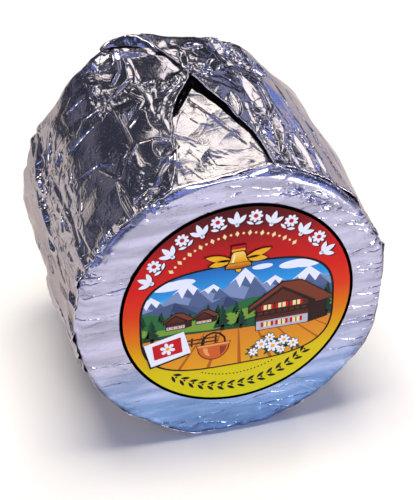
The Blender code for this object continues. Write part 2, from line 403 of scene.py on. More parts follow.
# Soft dents of the side: height mm, cell mm, seed
SIDE_DENTS = ((0.75, 11, 51), (0.03, 5, 52))

# Crumpling of foil that lies in no panel and no crumpled zone
PLAIN_CRUMPLING = 0.24

# Creases are drawn higher than in their table, so that they show
CREASE_SCALE = 1.5

# A bundle's creases are stretched lengthwise, and fade out towards its sides from a full middle
BUNDLE_STRETCH, BUNDLE_FULLNESS = 0.24, 1.8
BUNDLE_SEED, BUNDLE_SEED_STEP = 101, 3

# How much of the crumples a tilted plate smooths away, and how steep its rim is
PLATE_CALM, PLATE_RIM = 0.93, 4

# Gathered back: mm that it runs out over the rim, number and turn of its pleats, their height and
# steep side, the radius at which they are full, and how deep the back lies
BACK_OVERLAP, PLEATS, PLEAT_TURN, PLEAT_HEIGHT, PLEAT_STEEP = 5.5, 18, 35, 1.1, 6
PLEAT_HUB, BACK_INSET = 9, 1.3
PLEAT_WAVER = (0.12, 20, 71)

# How far coarser nets push a net about, their shifts in mm, and their widths in cells
FACET_BEND = (0.75, 3.1, 7.7, 1.9, 1.6)
WRINKLE_BEND = (0.7, 2.3, 5.1, 1.7, 1.5)
DENT_BEND = (0.5, 5, 9, 1.7)
DENT_POWER = 0.9
TRIANGLE_HEIGHT = 0.866

# A turn of about 31 degrees keeps the facets off the drum's own directions
TURN_COSINE, TURN_SINE = 0.86, 0.51

# Wrinkles break off by a patchwork: its width in cells, its steepness and its share
PATCH_WIDTH, PATCH_STEEP, PATCH_SHARE = 0.9, 2.5, 0.3

# Large primes that mix the bits of a pair of whole numbers
PRIMES = (73856093, 19349663, 83492791, 1274126177)


def along(table, value):
    """Read values off a table of (place, value) by straight lines."""
    return np.interp(value, *zip(*table))


def turn_between(angle, middle):
    """Signed angle from middle to angle, between -180 and 180."""
    return (angle - middle + 180) % 360 - 180


def bell(offset, half_width):
    """A hump of height 1 that falls smoothly to 0 at half_width."""
    return 0.5 + 0.5 * np.cos(np.pi * np.minimum(np.abs(offset) / half_width, 1))


def plateau(offset, half_width):
    """1 in the middle, falling to 0 over the outer quarter of half_width."""
    return np.clip((1 - np.abs(offset) / half_width) * 4, 0, 1)


def ridge(offset, half_width):
    """A straight-sided ridge of height 1 that falls to 0 at half_width."""
    return np.clip(1 - np.abs(offset) / half_width, 0, 1)


def ramp(value, start, end):
    """0 at start, 1 at end and beyond, with a straight climb between them."""
    return np.clip((value - start) / (end - start), 0, 1)


def over_arc(angle, arc, profile=bell):
    """A profile's value over an arc given as (middle, half width)."""
    return profile(turn_between(angle, arc[0]), arc[1])


def zones(table, angle, depth):
    """The strongest of the zones of a table at each vertex."""
    level = np.zeros_like(angle)
    for middle, half_width, place_in, half_depth, strength in table:
        window = over_arc(angle, (middle, half_width), plateau) * plateau(depth - place_in, half_depth)
        level = np.maximum(level, strength * window)
    return level


def chance(i, j, seed):
    """A fixed random number from -1 to 1 for each pair of whole numbers."""
    mixed = i.astype(np.int64) * PRIMES[0] ^ j.astype(np.int64) * PRIMES[1] ^ seed * PRIMES[2]
    mixed = (mixed ^ (mixed >> 13)) * PRIMES[3]
    return ((mixed ^ (mixed >> 16)) & 0xFFFF) / 0x7FFF - 1


def lattice(x, y, cell):
    """Numbers of the cell of a slanting net at each point, and the point's place inside it."""
    q = y / (cell * TRIANGLE_HEIGHT)
    p = x / cell - q / 2
    i, j = np.floor(p), np.floor(q)
    return i, j, p - i, q - j


def net(x, y, cell, seed):
    """Heights from -1 to 1 of a sheet creased into flat triangles of one size."""
    i, j, a, b = lattice(x, y, cell)
    upper = a + b > 1
    near = np.where(upper, chance(i + 1, j + 1, seed), chance(i, j, seed))
    weight = np.where(upper, a + b - 1, 1 - a - b)
    along_a = np.where(upper, 1 - b, a)
    along_b = np.where(upper, 1 - a, b)
    return weight * near + along_a * chance(i + 1, j, seed) + along_b * chance(i, j + 1, seed)


def bent(x, y, cell, seed, bend):
    """Points pushed about by two coarser nets, which makes a net through them uneven."""
    reach, shift_x, shift_y, width_x, width_y = bend
    bent_x = x + reach * cell * net(y + shift_x, x, cell * width_x, seed + 1)
    bent_y = y + reach * cell * net(x, y - shift_y, cell * width_y, seed + 2)
    return bent_x, bent_y


def facets(x, y, cell, seed):
    """Heights from -1 to 1 of a sheet creased into uneven flat facets about cell wide."""
    bent_x, bent_y = bent(x, y, cell, seed, FACET_BEND)
    turned_x = TURN_COSINE * bent_x + TURN_SINE * bent_y
    turned_y = TURN_COSINE * bent_y - TURN_SINE * bent_x
    return net(turned_x, turned_y, cell, seed)


def wrinkles(x, y, cell, half_width, seed):
    """Heights from 0 to 1 of thin raised creases along an uneven net, which break off in places."""
    i, j, a, b = lattice(*bent(x, y, cell, seed, WRINKLE_BEND), cell)
    lower = np.minimum.reduce([a, b, 1 - a - b])
    upper = np.minimum.reduce([1 - a, 1 - b, a + b - 1])
    edge = np.where(a + b > 1, upper, lower) * cell * TRIANGLE_HEIGHT
    kept = np.clip(PATCH_STEEP * rolling(x, y, cell * PATCH_WIDTH, seed + 3) + PATCH_SHARE, 0, 1)
    return kept * ridge(edge, half_width)


def rolling(x, y, cell, seed):
    """Smooth random heights from -1 to 1 with humps about cell wide."""
    p, q = x / cell, y / cell
    i, j = np.floor(p), np.floor(q)
    a, b = p - i, q - j
    a, b = a * a * (3 - 2 * a), b * b * (3 - 2 * b)
    low = chance(i, j, seed) * (1 - a) + chance(i + 1, j, seed) * a
    high = chance(i, j + 1, seed) * (1 - a) + chance(i + 1, j + 1, seed) * a
    return low * (1 - b) + high * b


def dents(x, y, cell, seed):
    """Soft bowls between sharp curved ridges, from -1 in the bowls to 1 on the ridges."""
    reach, shift_x, shift_y, width = DENT_BEND
    bent_x = x + reach * cell * rolling(x + shift_x, y, cell * width, seed + 1)
    bent_y = y + reach * cell * rolling(x, y - shift_y, cell * width, seed + 2)
    return 1 - 2 * np.abs(rolling(bent_x, bent_y, cell, seed)) ** DENT_POWER


def layered(layers, x, y):
    """Summed heights in mm of layers of facets."""
    return sum(size * facets(x * along_x, y * along_y, cell, seed)
               for size, along_x, along_y, cell, seed in layers)


def waver(place_in, size, cell, seed):
    """Uneven shift of an edge along its length."""
    return size * facets(place_in, np.zeros_like(place_in), cell, seed)


def line_distance(points, x, y):
    """Distance in mm from each vertex to a line through points."""
    nearest = np.full_like(x, 1e6)
    for (xa, ya), (xb, yb) in zip(points, points[1:]):
        length = (xb - xa) ** 2 + (yb - ya) ** 2
        share = np.clip(((x - xa) * (xb - xa) + (y - ya) * (yb - ya)) / length, 0, 1)
        nearest = np.minimum(nearest, np.hypot(x - xa - share * (xb - xa), y - ya - share * (yb - ya)))
    return nearest


def on_drum(points):
    """Turn points of (angle, depth) into millimetres along the drum's side."""
    return [(angle * MM_PER_DEGREE, depth) for angle, depth in points]


def crumpling(angle, depth):
    """How strongly the foil is crumpled at each vertex, from 0 in a smooth panel to 1."""
    level = PLAIN_CRUMPLING * (1 - zones(PANELS, angle, depth))
    return np.maximum(level, zones(CRUMPLED, angle, depth))


def bundled(x, y):
    """Height in mm of the creases that lie side by side along a line."""
    height = np.zeros_like(x)
    for number, (half_width, size, spacing, points) in enumerate(BUNDLES):
        line = on_drum(points)
        way = (Vector(line[-1]) - Vector(line[0])).normalized()
        lengthwise, across = x * way.x + y * way.y, y * way.x - x * way.y
        near = np.minimum(BUNDLE_FULLNESS * ridge(line_distance(line, x, y), half_width), 1)
        seed = BUNDLE_SEED + BUNDLE_SEED_STEP * number
        height += size * near * facets(lengthwise * BUNDLE_STRETCH, across, spacing, seed)
    return height


def with_plates(height, angle, depth):
    """Set flat tilted plates into a relief, each with its own sharp rim."""
    for middle, place_in, across, half_length, turn, aim in PLATES:
        dx, dy = (angle - middle) * MM_PER_DEGREE, depth - place_in
        c, s = math.cos(math.radians(turn)), math.sin(math.radians(turn))
        u, v = dx * c - dy * s, dx * s + dy * c
        window = np.clip((1 - np.abs(u) / across - (v / half_length) ** 2) * PLATE_RIM, 0, 1)
        tilt = math.tan(math.radians(middle - aim)) * u
        height = height * (1 - PLATE_CALM * window) + tilt * window
    return height


def relief(angle, depth, seed, share):
    """Height in mm of the foil's crumples, facets and creases."""
    x, y = angle * MM_PER_DEGREE, depth
    level = crumpling(angle, depth) * share
    dented = zones(DENTED, angle, depth)
    height = share * bundled(x, y)
    for size, calm, power, stretch_x, stretch_y, cell, own in SIDE_FACETS:
        facet = facets(x * stretch_x, y * stretch_y, cell, own + seed)
        height += size * (calm + level ** power) * facet
    for size, calm, stretch_x, stretch_y, cell, half_width, own in SIDE_WRINKLES:
        wrinkle = wrinkles(x * stretch_x, y * stretch_y, cell, half_width, own + seed)
        height += size * (calm + level) * wrinkle
    for size, cell, own in SIDE_DENTS:
        height += size * dented * dents(x, y, cell, own + seed)
    height = with_plates(height, angle, depth)
    for half_width, size, points in CREASES:
        near = ridge(line_distance(on_drum(points), x, y), half_width)
        height += CREASE_SCALE * share * size * near
    return height


def swell(angle, depth):
    """Slow swells and hollows of the wrapped drum."""
    height = np.zeros_like(angle)
    for middle, half_width, place_in, half_depth, size in SWELLS:
        height += size * over_arc(angle, (middle, half_width)) * bell(depth - place_in, half_depth)
    return height


def pressed_flat(angle, height):
    """Replace heights near the underside by the height of the strip that the drum lies on."""
    offset = np.abs(turn_between(angle, 180))
    strip = (AXIS_Z + REST_PRESS) / np.cos(np.radians(np.minimum(offset, REST_HALF))) - RADIUS
    return height + (strip - height) * ramp(offset, REST_HALF + REST_FADE, REST_HALF)


def outline_tables(steps=12):
    """The drum's outline from the front face over the side to the back, by distance along it."""
    rows = []
    back_start = FRONT_ARC + LENGTH - FRONT_FILLET - BACK_FILLET
    turns = [math.pi / 2 * step / steps for step in range(steps + 1)]
    for t in turns:
        rows.append((FRONT_FILLET * t, RADIUS - FRONT_FILLET * (1 - math.sin(t)),
                     FRONT_FILLET * (1 - math.cos(t)), t - math.pi / 2))
    for t in turns:
        rows.append((back_start + BACK_FILLET * t, RADIUS - BACK_FILLET * (1 - math.cos(t)),
                     LENGTH - BACK_FILLET * (1 - math.sin(t)), t))
    return list(zip(*rows))


OUTLINE = outline_tables()
OUTLINE_LENGTH = OUTLINE[0][-1]


def on_outline(distance):
    """Radius, depth and lean of the outline's normal at each distance from the front face."""
    return (np.interp(distance, OUTLINE[0], values) for values in OUTLINE[1:])


def place(angle, radius, depth, shift=0):
    """World places of points given round the drum's axis, kept inside the CAD model's box."""
    turn = np.radians(angle)
    x = AXIS_X + radius * np.sin(turn) + LABEL_SHIFT_X * shift
    z = AXIS_Z + radius * np.cos(turn) + LABEL_SHIFT_Z * shift
    x = np.clip(x, DRUM_LOW.x, DRUM_HIGH.x)
    y = np.clip(FACE_Y + depth, DRUM_LOW.y, DRUM_HIGH.y)
    z = np.clip(z, 0, DRUM_HIGH.z + HEADROOM)
    return np.column_stack((x, y, z)) * MM


def read_path(column, knots):
    """Read values along a sheet's columns off knots of (column, value at each vertex)."""
    value = knots[0][1] + 0 * column
    for (start, first), (end, last) in zip(knots, knots[1:]):
        value = np.where(column > start, first + (last - first) * ramp(column, start, end), value)
    return value


def object_from(bm, name):
    """Turn a bmesh into an object of its own in the scene."""
    mesh = bpy.data.meshes.new(name)
    bm.to_mesh(mesh)
    bm.free()
    piece = bpy.data.objects.new(name, mesh)
    bpy.context.scene.collection.objects.link(piece)
    return piece


def sheet(name, columns, rows, rule, flip):
    """A grid of columns by rows whose vertices a rule moves to their places."""
    bm = bmesh.new()
    bmesh.ops.create_grid(bm, x_segments=columns, y_segments=rows, size=0.5)
    if flip:
        bmesh.ops.reverse_faces(bm, faces=bm.faces)
    piece = object_from(bm, name)
    mesh = piece.data
    flat = np.empty(len(mesh.vertices) * 3)
    mesh.vertices.foreach_get("co", flat)
    x, y = flat.reshape(-1, 3)[:, :2].T
    points, crumpled = rule(np.round((x + 0.5) * columns), np.round((y + 0.5) * rows))
    mesh.vertices.foreach_set("co", points.ravel())
    attribute = mesh.attributes.new("crumpled", 'FLOAT', 'POINT')
    attribute.data.foreach_set("value", crumpled)
    mesh.update()
    return piece


# Columns of the side's sheets. The left end's are counted up to its fine part, its free edge, its fold
# and the pocket's foot, the right end's up to its fold, its free edge, its coarse part and the underside
LEFT_COLUMNS = (50, 372, 374, 384)
RIGHT_COLUMNS = (10, 12, 262, 340)
INNER_COLUMNS = 150
EAR_COLUMNS, EAR_ROWS = 80, 60
SIDE_ROWS = 250

# Angles between which the columns of both ends are fine
FINE_FROM, FINE_TO = -104, 76

# Rows and mm over which the side's front rim is folded back under itself
TUCK_ROWS, TUCK_BACK, TUCK_IN = 4, 1.4, 0.9

# Mm that the side stops short at the back, mm that it dives there, over these rows, and rows over
# which its relief dies out
BACK_MARGIN, BACK_DIVE, BACK_DIVE_ROWS, BACK_CALM_ROWS = 2.5, 0.8, 3, 8

# Share of the relief that pushes along the drum where the rim leans
LEAN_SHARE = 0.6

# The front ring's and the back's sheets, the ring's inner radius under the label, the mm by which it
# runs under the side's foil, and how its sheet stands off and dives
FACE_COLUMNS, FACE_ROWS = 900, 108
BACK_COLUMNS, BACK_ROWS = 360, 90
FACE_INNER = 39.5
FACE_UNDER_SIDE, FACE_OVERLAP = 1.8, 0.4
FACE_INSET, FACE_SINK, FACE_DIVE = 0.15, 0.1, 0.9

# Crumpling that the shader reads on the ear and the back
EAR_LEVEL, BACK_LEVEL = 0.4, 0.5


def side_distance(row, angle):
    """Distance along the outline for each row of a side sheet, and how deep the row is tucked in."""
    first = along(RIM_EDGE, angle) + waver(angle * MM_PER_DEGREE, *RIM_WAVER)
    last = OUTLINE_LENGTH - BACK_MARGIN
    tucked = ramp(row, TUCK_ROWS, 0)
    return first + (last - first) * ramp(row, TUCK_ROWS, SIDE_ROWS) + TUCK_BACK * tucked, tucked


def flattened(angle, depth):
    """How far the layer between the free ends sinks below the drum's round, where it is pulled flat."""
    left, right = along(LEFT_EDGE, depth), along(RIGHT_EDGE, depth)
    half = np.radians(np.maximum(right - left, 0) / 2)
    sag = np.minimum(RADIUS * (1 - np.cos(half)), FLAT_SAG) * ramp(depth, FLAT_END, FLAT_END - FLAT_FADE)
    offset = np.radians(np.clip(angle - (left + right) / 2, -FLAT_REACH, FLAT_REACH))
    return np.minimum((RADIUS - sag) / np.cos(offset) - RADIUS, 0)


def side_places(angle, row, lift_height, seed, share=1.0):
    """Places of side points once swells, lift and relief are added, and how crumpled they are."""
    distance, tucked = side_distance(row, angle)
    radius, depth, lean = on_outline(distance)
    front = depth < LENGTH / 2
    on_side = bell(RADIUS - radius, np.where(front, FRONT_FILLET, BACK_FILLET))
    bumps = relief(angle, depth, seed, share) * ramp(row, SIDE_ROWS, SIDE_ROWS - BACK_CALM_ROWS)
    height = pressed_flat(angle, swell(angle, depth) + lift_height + bumps)
    bead = RIM_BEAD * ridge(distance - along(RIM_EDGE, angle) - RIM_BEAD_IN, RIM_BEAD_HALF)
    near_rim = ramp(distance, RIM_LIFT_FROM + RIM_LIFT_FADE, RIM_LIFT_FROM) * front
    height += (bead + along(RIM_LIFT, angle) * near_rim) * (1 - tucked) - TUCK_IN * tucked
    height -= BACK_DIVE * ramp(row, SIDE_ROWS - BACK_DIVE_ROWS, SIDE_ROWS)
    outer = radius + height * np.maximum(on_side, np.cos(lean))
    return place(angle, outer, depth + bumps * np.sin(lean) * LEAN_SHARE), crumpling(angle, depth)


def edge_bead(inwards):
    """Height of the rolled bead along a free edge, by the angle inwards from the edge."""
    return EDGE_BEAD * ridge(inwards * MM_PER_DEGREE - EDGE_BEAD_HALF, EDGE_BEAD_HALF)


def left_rule(column, row):
    """The foil's left end: round the drum from below to its free edge, and folded back under it."""
    depth = row / SIDE_ROWS * LENGTH
    left = along(LEFT_EDGE, depth) + waver(depth, *LEFT_WAVER)
    raised = along(LEFT_LIFT, depth)
    fine, edge, fold, foot = LEFT_COLUMNS
    angle = read_path(column, ((0, -180), (fine, FINE_FROM), (edge, left), (fold, left - LEFT_FOLD),
                               (foot, left - along(LEFT_POCKET, depth))))
    upper = raised * np.exp((angle - left) / LEFT_FADE) + edge_bead(left - angle)
    under = read_path(column, ((edge, raised), (fold, raised - foil_thickness()),
                               (foot, 0 * depth - LEFT_POCKET_SINK)))
    under_ear = ramp(depth - along(EAR_EDGE, angle), EAR_SINK_FROM, EAR_SINK_TO)
    sink = EAR_SINK * over_arc(angle, EAR_SINK_ARC, plateau) * under_ear
    return side_places(angle, row, np.where(column <= edge, upper, under) - sink, LEFT_SEED)


def right_rule(column, row):
    """The foil's right end: from its free edge, lifted off the layers below, round to the underside."""
    depth = row / SIDE_ROWS * LENGTH
    right = along(RIGHT_EDGE, depth) + waver(depth, *RIGHT_WAVER)
    raised = along(RIGHT_LIFT, depth)
    fold, edge, fine, foot = RIGHT_COLUMNS
    angle = read_path(column, ((0, right + along(RIGHT_POCKET, depth)), (fold, right + RIGHT_FOLD),
                               (edge, right), (fine, FINE_TO), (foot, 180)))
    upper = raised * np.exp((right - angle) / RIGHT_FADE) + edge_bead(angle - right)
    under = read_path(column, ((0, 0 * depth - RIGHT_POCKET_SINK), (fold, raised - foil_thickness()),
                               (edge, raised)))
    return side_places(angle, row, np.where(column >= edge, upper, under), RIGHT_SEED)


def inner_rule(column, row):
    """The layer that shows between the two free ends, and runs under both."""
    depth = row / SIDE_ROWS * LENGTH
    left_edge, right_edge = along(LEFT_EDGE, depth), along(RIGHT_EDGE, depth)
    left = left_edge - along(LEFT_POCKET, depth) - INNER_OVERLAP
    right = right_edge + along(RIGHT_POCKET, depth) + INNER_OVERLAP
    angle = left + (right - left) * column / INNER_COLUMNS
    wide = along(DIP_WIDTH, depth)
    dip = np.maximum(along(RIGHT_DIP, depth) * ramp((right_edge - angle) * MM_PER_DEGREE, wide, 0),
                     along(LEFT_DIP, depth) * ramp((angle - left_edge) * MM_PER_DEGREE, wide, 0))
    height = flattened(angle, depth) - INNER_SINK - dip
    return side_places(angle, row, height, INNER_SEED, INNER_SHARE)


def ear_rule(column, row):
    """The ear of the left end, folded forward over the back rim and tucked under the right end."""
    first_angle, last_angle = EAR_EDGE[0][0], EAR_EDGE[-1][0]
    angle = first_angle + (last_angle - first_angle) * column / EAR_COLUMNS
    share = ramp(row, TUCK_ROWS, EAR_ROWS)
    tucked = ramp(row, TUCK_ROWS, 0)
    first = along(EAR_EDGE, angle) + FRONT_ARC - FRONT_FILLET
    distance = first + (OUTLINE_LENGTH - EAR_MARGIN - first) * share + EAR_TUCK_BACK * tucked
    radius, depth, lean = on_outline(distance)
    bumps = layered(EAR_FACETS, angle * MM_PER_DEGREE, distance)
    rise = EAR_START + (1 - EAR_START) * ramp(distance - first, 0, EAR_RISE)
    lift = along(EAR_LIFT, angle) * (1 - EAR_FALL * share) * rise
    folded = ramp(column, EAR_FOLD_COLUMNS, 0)
    height = swell(angle, depth) + lift + bumps - EAR_SINK / 2 - EAR_TUCK * tucked
    height -= EAR_BACK_TUCK * ramp(row, EAR_ROWS - EAR_BACK_ROWS, EAR_ROWS) + EAR_FOLD_DROP * folded ** 2
    points = place(angle + EAR_FOLD_TURN * folded, radius + height * np.cos(lean),
                   depth + bumps * np.sin(lean))
    return points, EAR_LEVEL + 0 * angle


def face_rule(column, row):
    """The foil's flat front ring, from under the label over the rim's rounding."""
    angle = -180 + 360 * column / FACE_COLUMNS
    flat_width = RADIUS - FRONT_FILLET - FACE_INNER
    last = along(RIM_EDGE, angle) + FACE_UNDER_SIDE + FACE_OVERLAP
    distance = (flat_width + last) * row / FACE_ROWS - flat_width
    radius, depth, lean = on_outline(np.maximum(distance, 0))
    radius = radius + np.minimum(distance, 0)
    x, z = radius * np.sin(np.radians(angle)), radius * np.cos(np.radians(angle))
    outward = ramp(radius, LABEL_RADIUS, RADIUS)
    rim = ramp(distance, -RIM_WIDE, 0)
    patches = [over_arc(angle, patch) for patch in LEFT_RIM_PATCHES]
    left_rim = rim * np.maximum.reduce([*patches, LEFT_ARC_LEVEL * over_arc(angle, LEFT_RIM_ARC, plateau)])
    sparkly = over_arc(angle, SPARKLY_ARC) * plateau(outward - SPARKLY_BAND, SPARKLY_HALF)
    corner = over_arc(angle, CORNER_ARC) * ramp(outward, CORNER_FROM, CORNER_TO)
    lower = rim * over_arc(angle, LOWER_RIM_ARC, plateau)
    crinkles = [bell(np.hypot(x - across, z - up), reach) for across, up, reach in FACE_CRINKLES]
    crumpled = np.maximum.reduce([
        LEFT_RIM_LEVEL * left_rim, SPARKLY_LEVEL * sparkly, corner, LOWER_RIM_LEVEL * lower,
        RING_LEVEL * outward, CRINKLE_LEVEL * np.maximum.reduce(crinkles)])
    bumps = layered(RING_FACETS, x, z) * ramp(outward, 0, RING_CALM)
    for level, facets_there in (
            (crumpled, CRUMPLED_FACETS), (sparkly, SPARKLY_FACETS), (left_rim, LEFT_RIM_FACETS)):
        bumps += level * layered(facets_there, x, z)
    for half_width, size, points in FACE_CREASES:
        bumps += size * ridge(line_distance(points, x, z), half_width)
    height = pressed_flat(angle, swell(angle, depth) + flattened(angle, depth))
    height *= bell(RADIUS - radius, FRONT_FILLET)
    under_side = ramp(distance, last - FACE_UNDER_SIDE, last)
    height += bumps * np.cos(lean) - FACE_SINK - FACE_DIVE * under_side
    centring = ramp(radius, RADIUS - FRONT_FILLET, LABEL_RADIUS)
    outer = radius + height * np.maximum(np.cos(lean), 0)
    return place(angle, outer, depth + FACE_INSET + bumps * np.sin(lean), centring), crumpled


def back_rule(column, row):
    """The gathered back: pleats that turn round the middle and run out over the rim."""
    angle = -180 + 360 * column / BACK_COLUMNS
    flat_width = RADIUS - BACK_FILLET
    distance = OUTLINE_LENGTH + flat_width - (flat_width + BACK_OVERLAP) * row / BACK_ROWS
    radius, depth, lean = on_outline(np.minimum(distance, OUTLINE_LENGTH))
    radius = radius - np.maximum(distance - OUTLINE_LENGTH, 0)
    turned = angle + PLEAT_TURN * radius / RADIUS
    size, cell, seed = PLEAT_WAVER
    share = (turned * PLEATS / 360 + size * facets(angle, radius, cell, seed)) % 1
    pleat = PLEAT_HEIGHT * np.minimum(share, (1 - share) * PLEAT_STEEP) * np.minimum(radius / PLEAT_HUB, 1)
    x, z = radius * np.sin(np.radians(angle)), radius * np.cos(np.radians(angle))
    bumps = layered(BACK_FACETS, x, z)
    on_side = bell(RADIUS - radius, BACK_FILLET)
    outer = radius + pressed_flat(angle, swell(angle, depth)) * on_side
    points = place(angle, outer, depth + (pleat - BACK_INSET + bumps) * (1 - on_side))
    return points, BACK_LEVEL + 0 * radius


# Patterns of the foils, in cells per metre: the wobble of creases (3 mm), the clouds that hands leave
# (11 mm), their fine rubbing (0.6 mm) and the streaks of painted sheen and painted reflection on the satin
# ring (9 mm)
WOBBLE_SCALE, CLOUD_SCALE, RUBBING_SCALE, STREAK_SCALE = 350.0, 90.0, 1600.0, 110.0
WOBBLE_REACH = 1.2 * MM
RUBBING_HEIGHT = 0.03 * MM
STREAK_STRETCH = (0.35, 1.0, 2.2)
STREAK_REACH = 40 * MM

# Crushed cells and thin wrinkles of the foils, drawn a little coarser than real so that they show
COARSE_CELL, FINE_CELL, WRINKLE_CELL, WRINKLE_HALF = 1.9 * MM, 0.9 * MM, 5 * MM, 0.35 * MM

# Tilt of the cells and height of the wrinkles in calm foil, and height in crumpled foil
CALM_CRUSH, CALM_WRINKLE, FULL_WRINKLE, FULL_WRINKLE_FROM = 0.01, 0.5, 1.3, 0.3

# Share of the foils' roughness in their clear and their clouded places
CLEAR, CLOUDED = 0.7, 1.5

# Tint of the foils' reflections at a grazing angle
FOIL_EDGE_TINT = (0.55, 0.5, 0.5, 1)

# Satin foil: colour of the painted shade in its wrinkles and its share there, and brightness of the painted
# sheen in its streaks
PAINTED_WRINKLE_SHADE, PAINTED_WRINKLE_SHADE_SHARE = "#6A6C84", 0.5
DARK_PAINTED_SHEEN, BRIGHT_PAINTED_SHEEN = 0.82, 1.22

# Printed paper: cockling (11 mm) and fibres (0.4 mm) in cells per metre, and their heights
COCKLE_SCALE, FIBRE_SCALE = 90.0, 2600.0
COCKLE_HEIGHT, FIBRE_HEIGHT = 0.4 * MM, 0.008 * MM
VARNISH_LOW, VARNISH_HIGH, VARNISH_GLOSS = 0.38, 0.5, 0.15

# Values between which a noise texture mostly lies, those of a streak, and those of a wrinkle's gaps
NOISE_LOW, NOISE_HIGH = 0.3, 0.7
STREAK_LOW, STREAK_HIGH = 0.38, 0.62
BROKEN, UNBROKEN = 0.45, 0.6

# Patches in which the wrinkles break off, for each cell that they border
PATCHES_PER_CELL = 0.8


def feed(tree, node, links):
    """Set a node's inputs, or link them to a socket or to a node's first output."""
    for name, source in links.items():
        if isinstance(source, bpy.types.Node):
            source = source.outputs[0]
        if isinstance(source, bpy.types.NodeSocket):
            tree.links.new(source, node.inputs[name])
        else:
            node.inputs[name].default_value = source


def add_node(tree, kind, links=None, **settings):
    """Add a shader node, set its properties and feed its inputs."""
    node = tree.nodes.new("ShaderNode" + kind)
    for name, value in settings.items():
        setattr(node, name, value)
    feed(tree, node, links or {})
    return node


def new_material(name):
    """A node material, its tree and the principled shader that feeds its output."""
    material = bpy.data.materials.new(name)
    material.use_nodes = True
    tree = material.node_tree
    return material, tree, tree.nodes["Principled BSDF"]


def tilted_cells(tree, place_in, width):
    """Height in metres of a sheet crushed into cells, each tilted its own way."""
    cells = add_node(tree, "TexVoronoi", {"Vector": place_in, "Scale": 1 / width})
    across = add_node(tree, "VectorMath", {0: place_in, 1: cells.outputs["Position"]}, operation='SUBTRACT')
    middle = (0.5, 0.5, 0.5)
    tilt = add_node(tree, "VectorMath", {0: cells.outputs["Color"], 1: middle}, operation='SUBTRACT')
    return add_node(tree, "VectorMath", {0: across, 1: tilt}, operation='DOT_PRODUCT').outputs["Value"]


def thin_wrinkles(tree, place_in, stretch, height):
    """Height in metres of thin wrinkles along the borders of stretched cells, broken off in places."""
    stretched = add_node(tree, "VectorMath", {0: place_in, 1: stretch}, operation='MULTIPLY')
    cells = add_node(tree, "TexVoronoi", {"Vector": stretched, "Scale": 1 / WRINKLE_CELL},
                     feature='DISTANCE_TO_EDGE')
    border = add_node(tree, "MapRange", {
        "Value": cells, "From Max": WRINKLE_HALF / WRINKLE_CELL, "To Min": height, "To Max": 0.0})
    patches = add_node(tree, "TexNoise", {"Vector": stretched, "Scale": PATCHES_PER_CELL / WRINKLE_CELL})
    kept = add_node(tree, "MapRange", {"Value": patches, "From Min": BROKEN, "From Max": UNBROKEN})
    return add_node(tree, "Math", {0: border, 1: kept}, operation='MULTIPLY')


def satin_colour_with_painted_light(tree, place_in, colours, painted_reflection_heights, wrinkled, wrinkle):
    """Colour of satin foil with painted light: a painted reflection graded by height, painted shade in its
    wrinkles and drawn-out streaks of painted sheen.
    """
    height = add_node(tree, "SeparateXYZ", {"Vector": place_in}).outputs["Z"]
    drawn_out = add_node(tree, "VectorMath", {0: place_in, 1: STREAK_STRETCH}, operation='MULTIPLY')
    streak = add_node(tree, "TexNoise", {"Vector": drawn_out, "Scale": STREAK_SCALE, "Detail": 3.0})
    uneven = add_node(tree, "Math", {0: streak, 1: STREAK_REACH, 2: height}, operation='MULTIPLY_ADD')
    # Painted reflection: the colour runs from blue at the foot of the face to lavender higher up, as if
    # reflecting the floor in shade
    low, high = (place_up * MM + STREAK_REACH / 2 for place_up in painted_reflection_heights)
    share = add_node(tree, "MapRange", {"Value": uneven, "From Min": low, "From Max": high})
    graded = add_node(tree, "Mix", {"Factor": share, 6: colours[0], 7: colours[1]}, data_type='RGBA')
    # Painted shade: the satin's colour is darkened along its thin wrinkles
    shaded = add_node(tree, "MapRange", {
        "Value": wrinkled, "From Max": wrinkle, "To Max": PAINTED_WRINKLE_SHADE_SHARE})
    dark = (*linear(PAINTED_WRINKLE_SHADE), 1)
    with_painted_wrinkle_shade = add_node(tree, "Mix", {"Factor": shaded, 6: graded.outputs[2], 7: dark}, data_type='RGBA')
    # Painted sheen: the satin is brightened and darkened in drawn-out streaks
    painted_sheen_bands = add_node(tree, "MapRange", {
        "Value": streak, "From Min": STREAK_LOW, "From Max": STREAK_HIGH,
        "To Min": DARK_PAINTED_SHEEN, "To Max": BRIGHT_PAINTED_SHEEN})
    return add_node(tree, "VectorMath", {0: with_painted_wrinkle_shade.outputs[2], "Scale": painted_sheen_bands}, operation='SCALE')


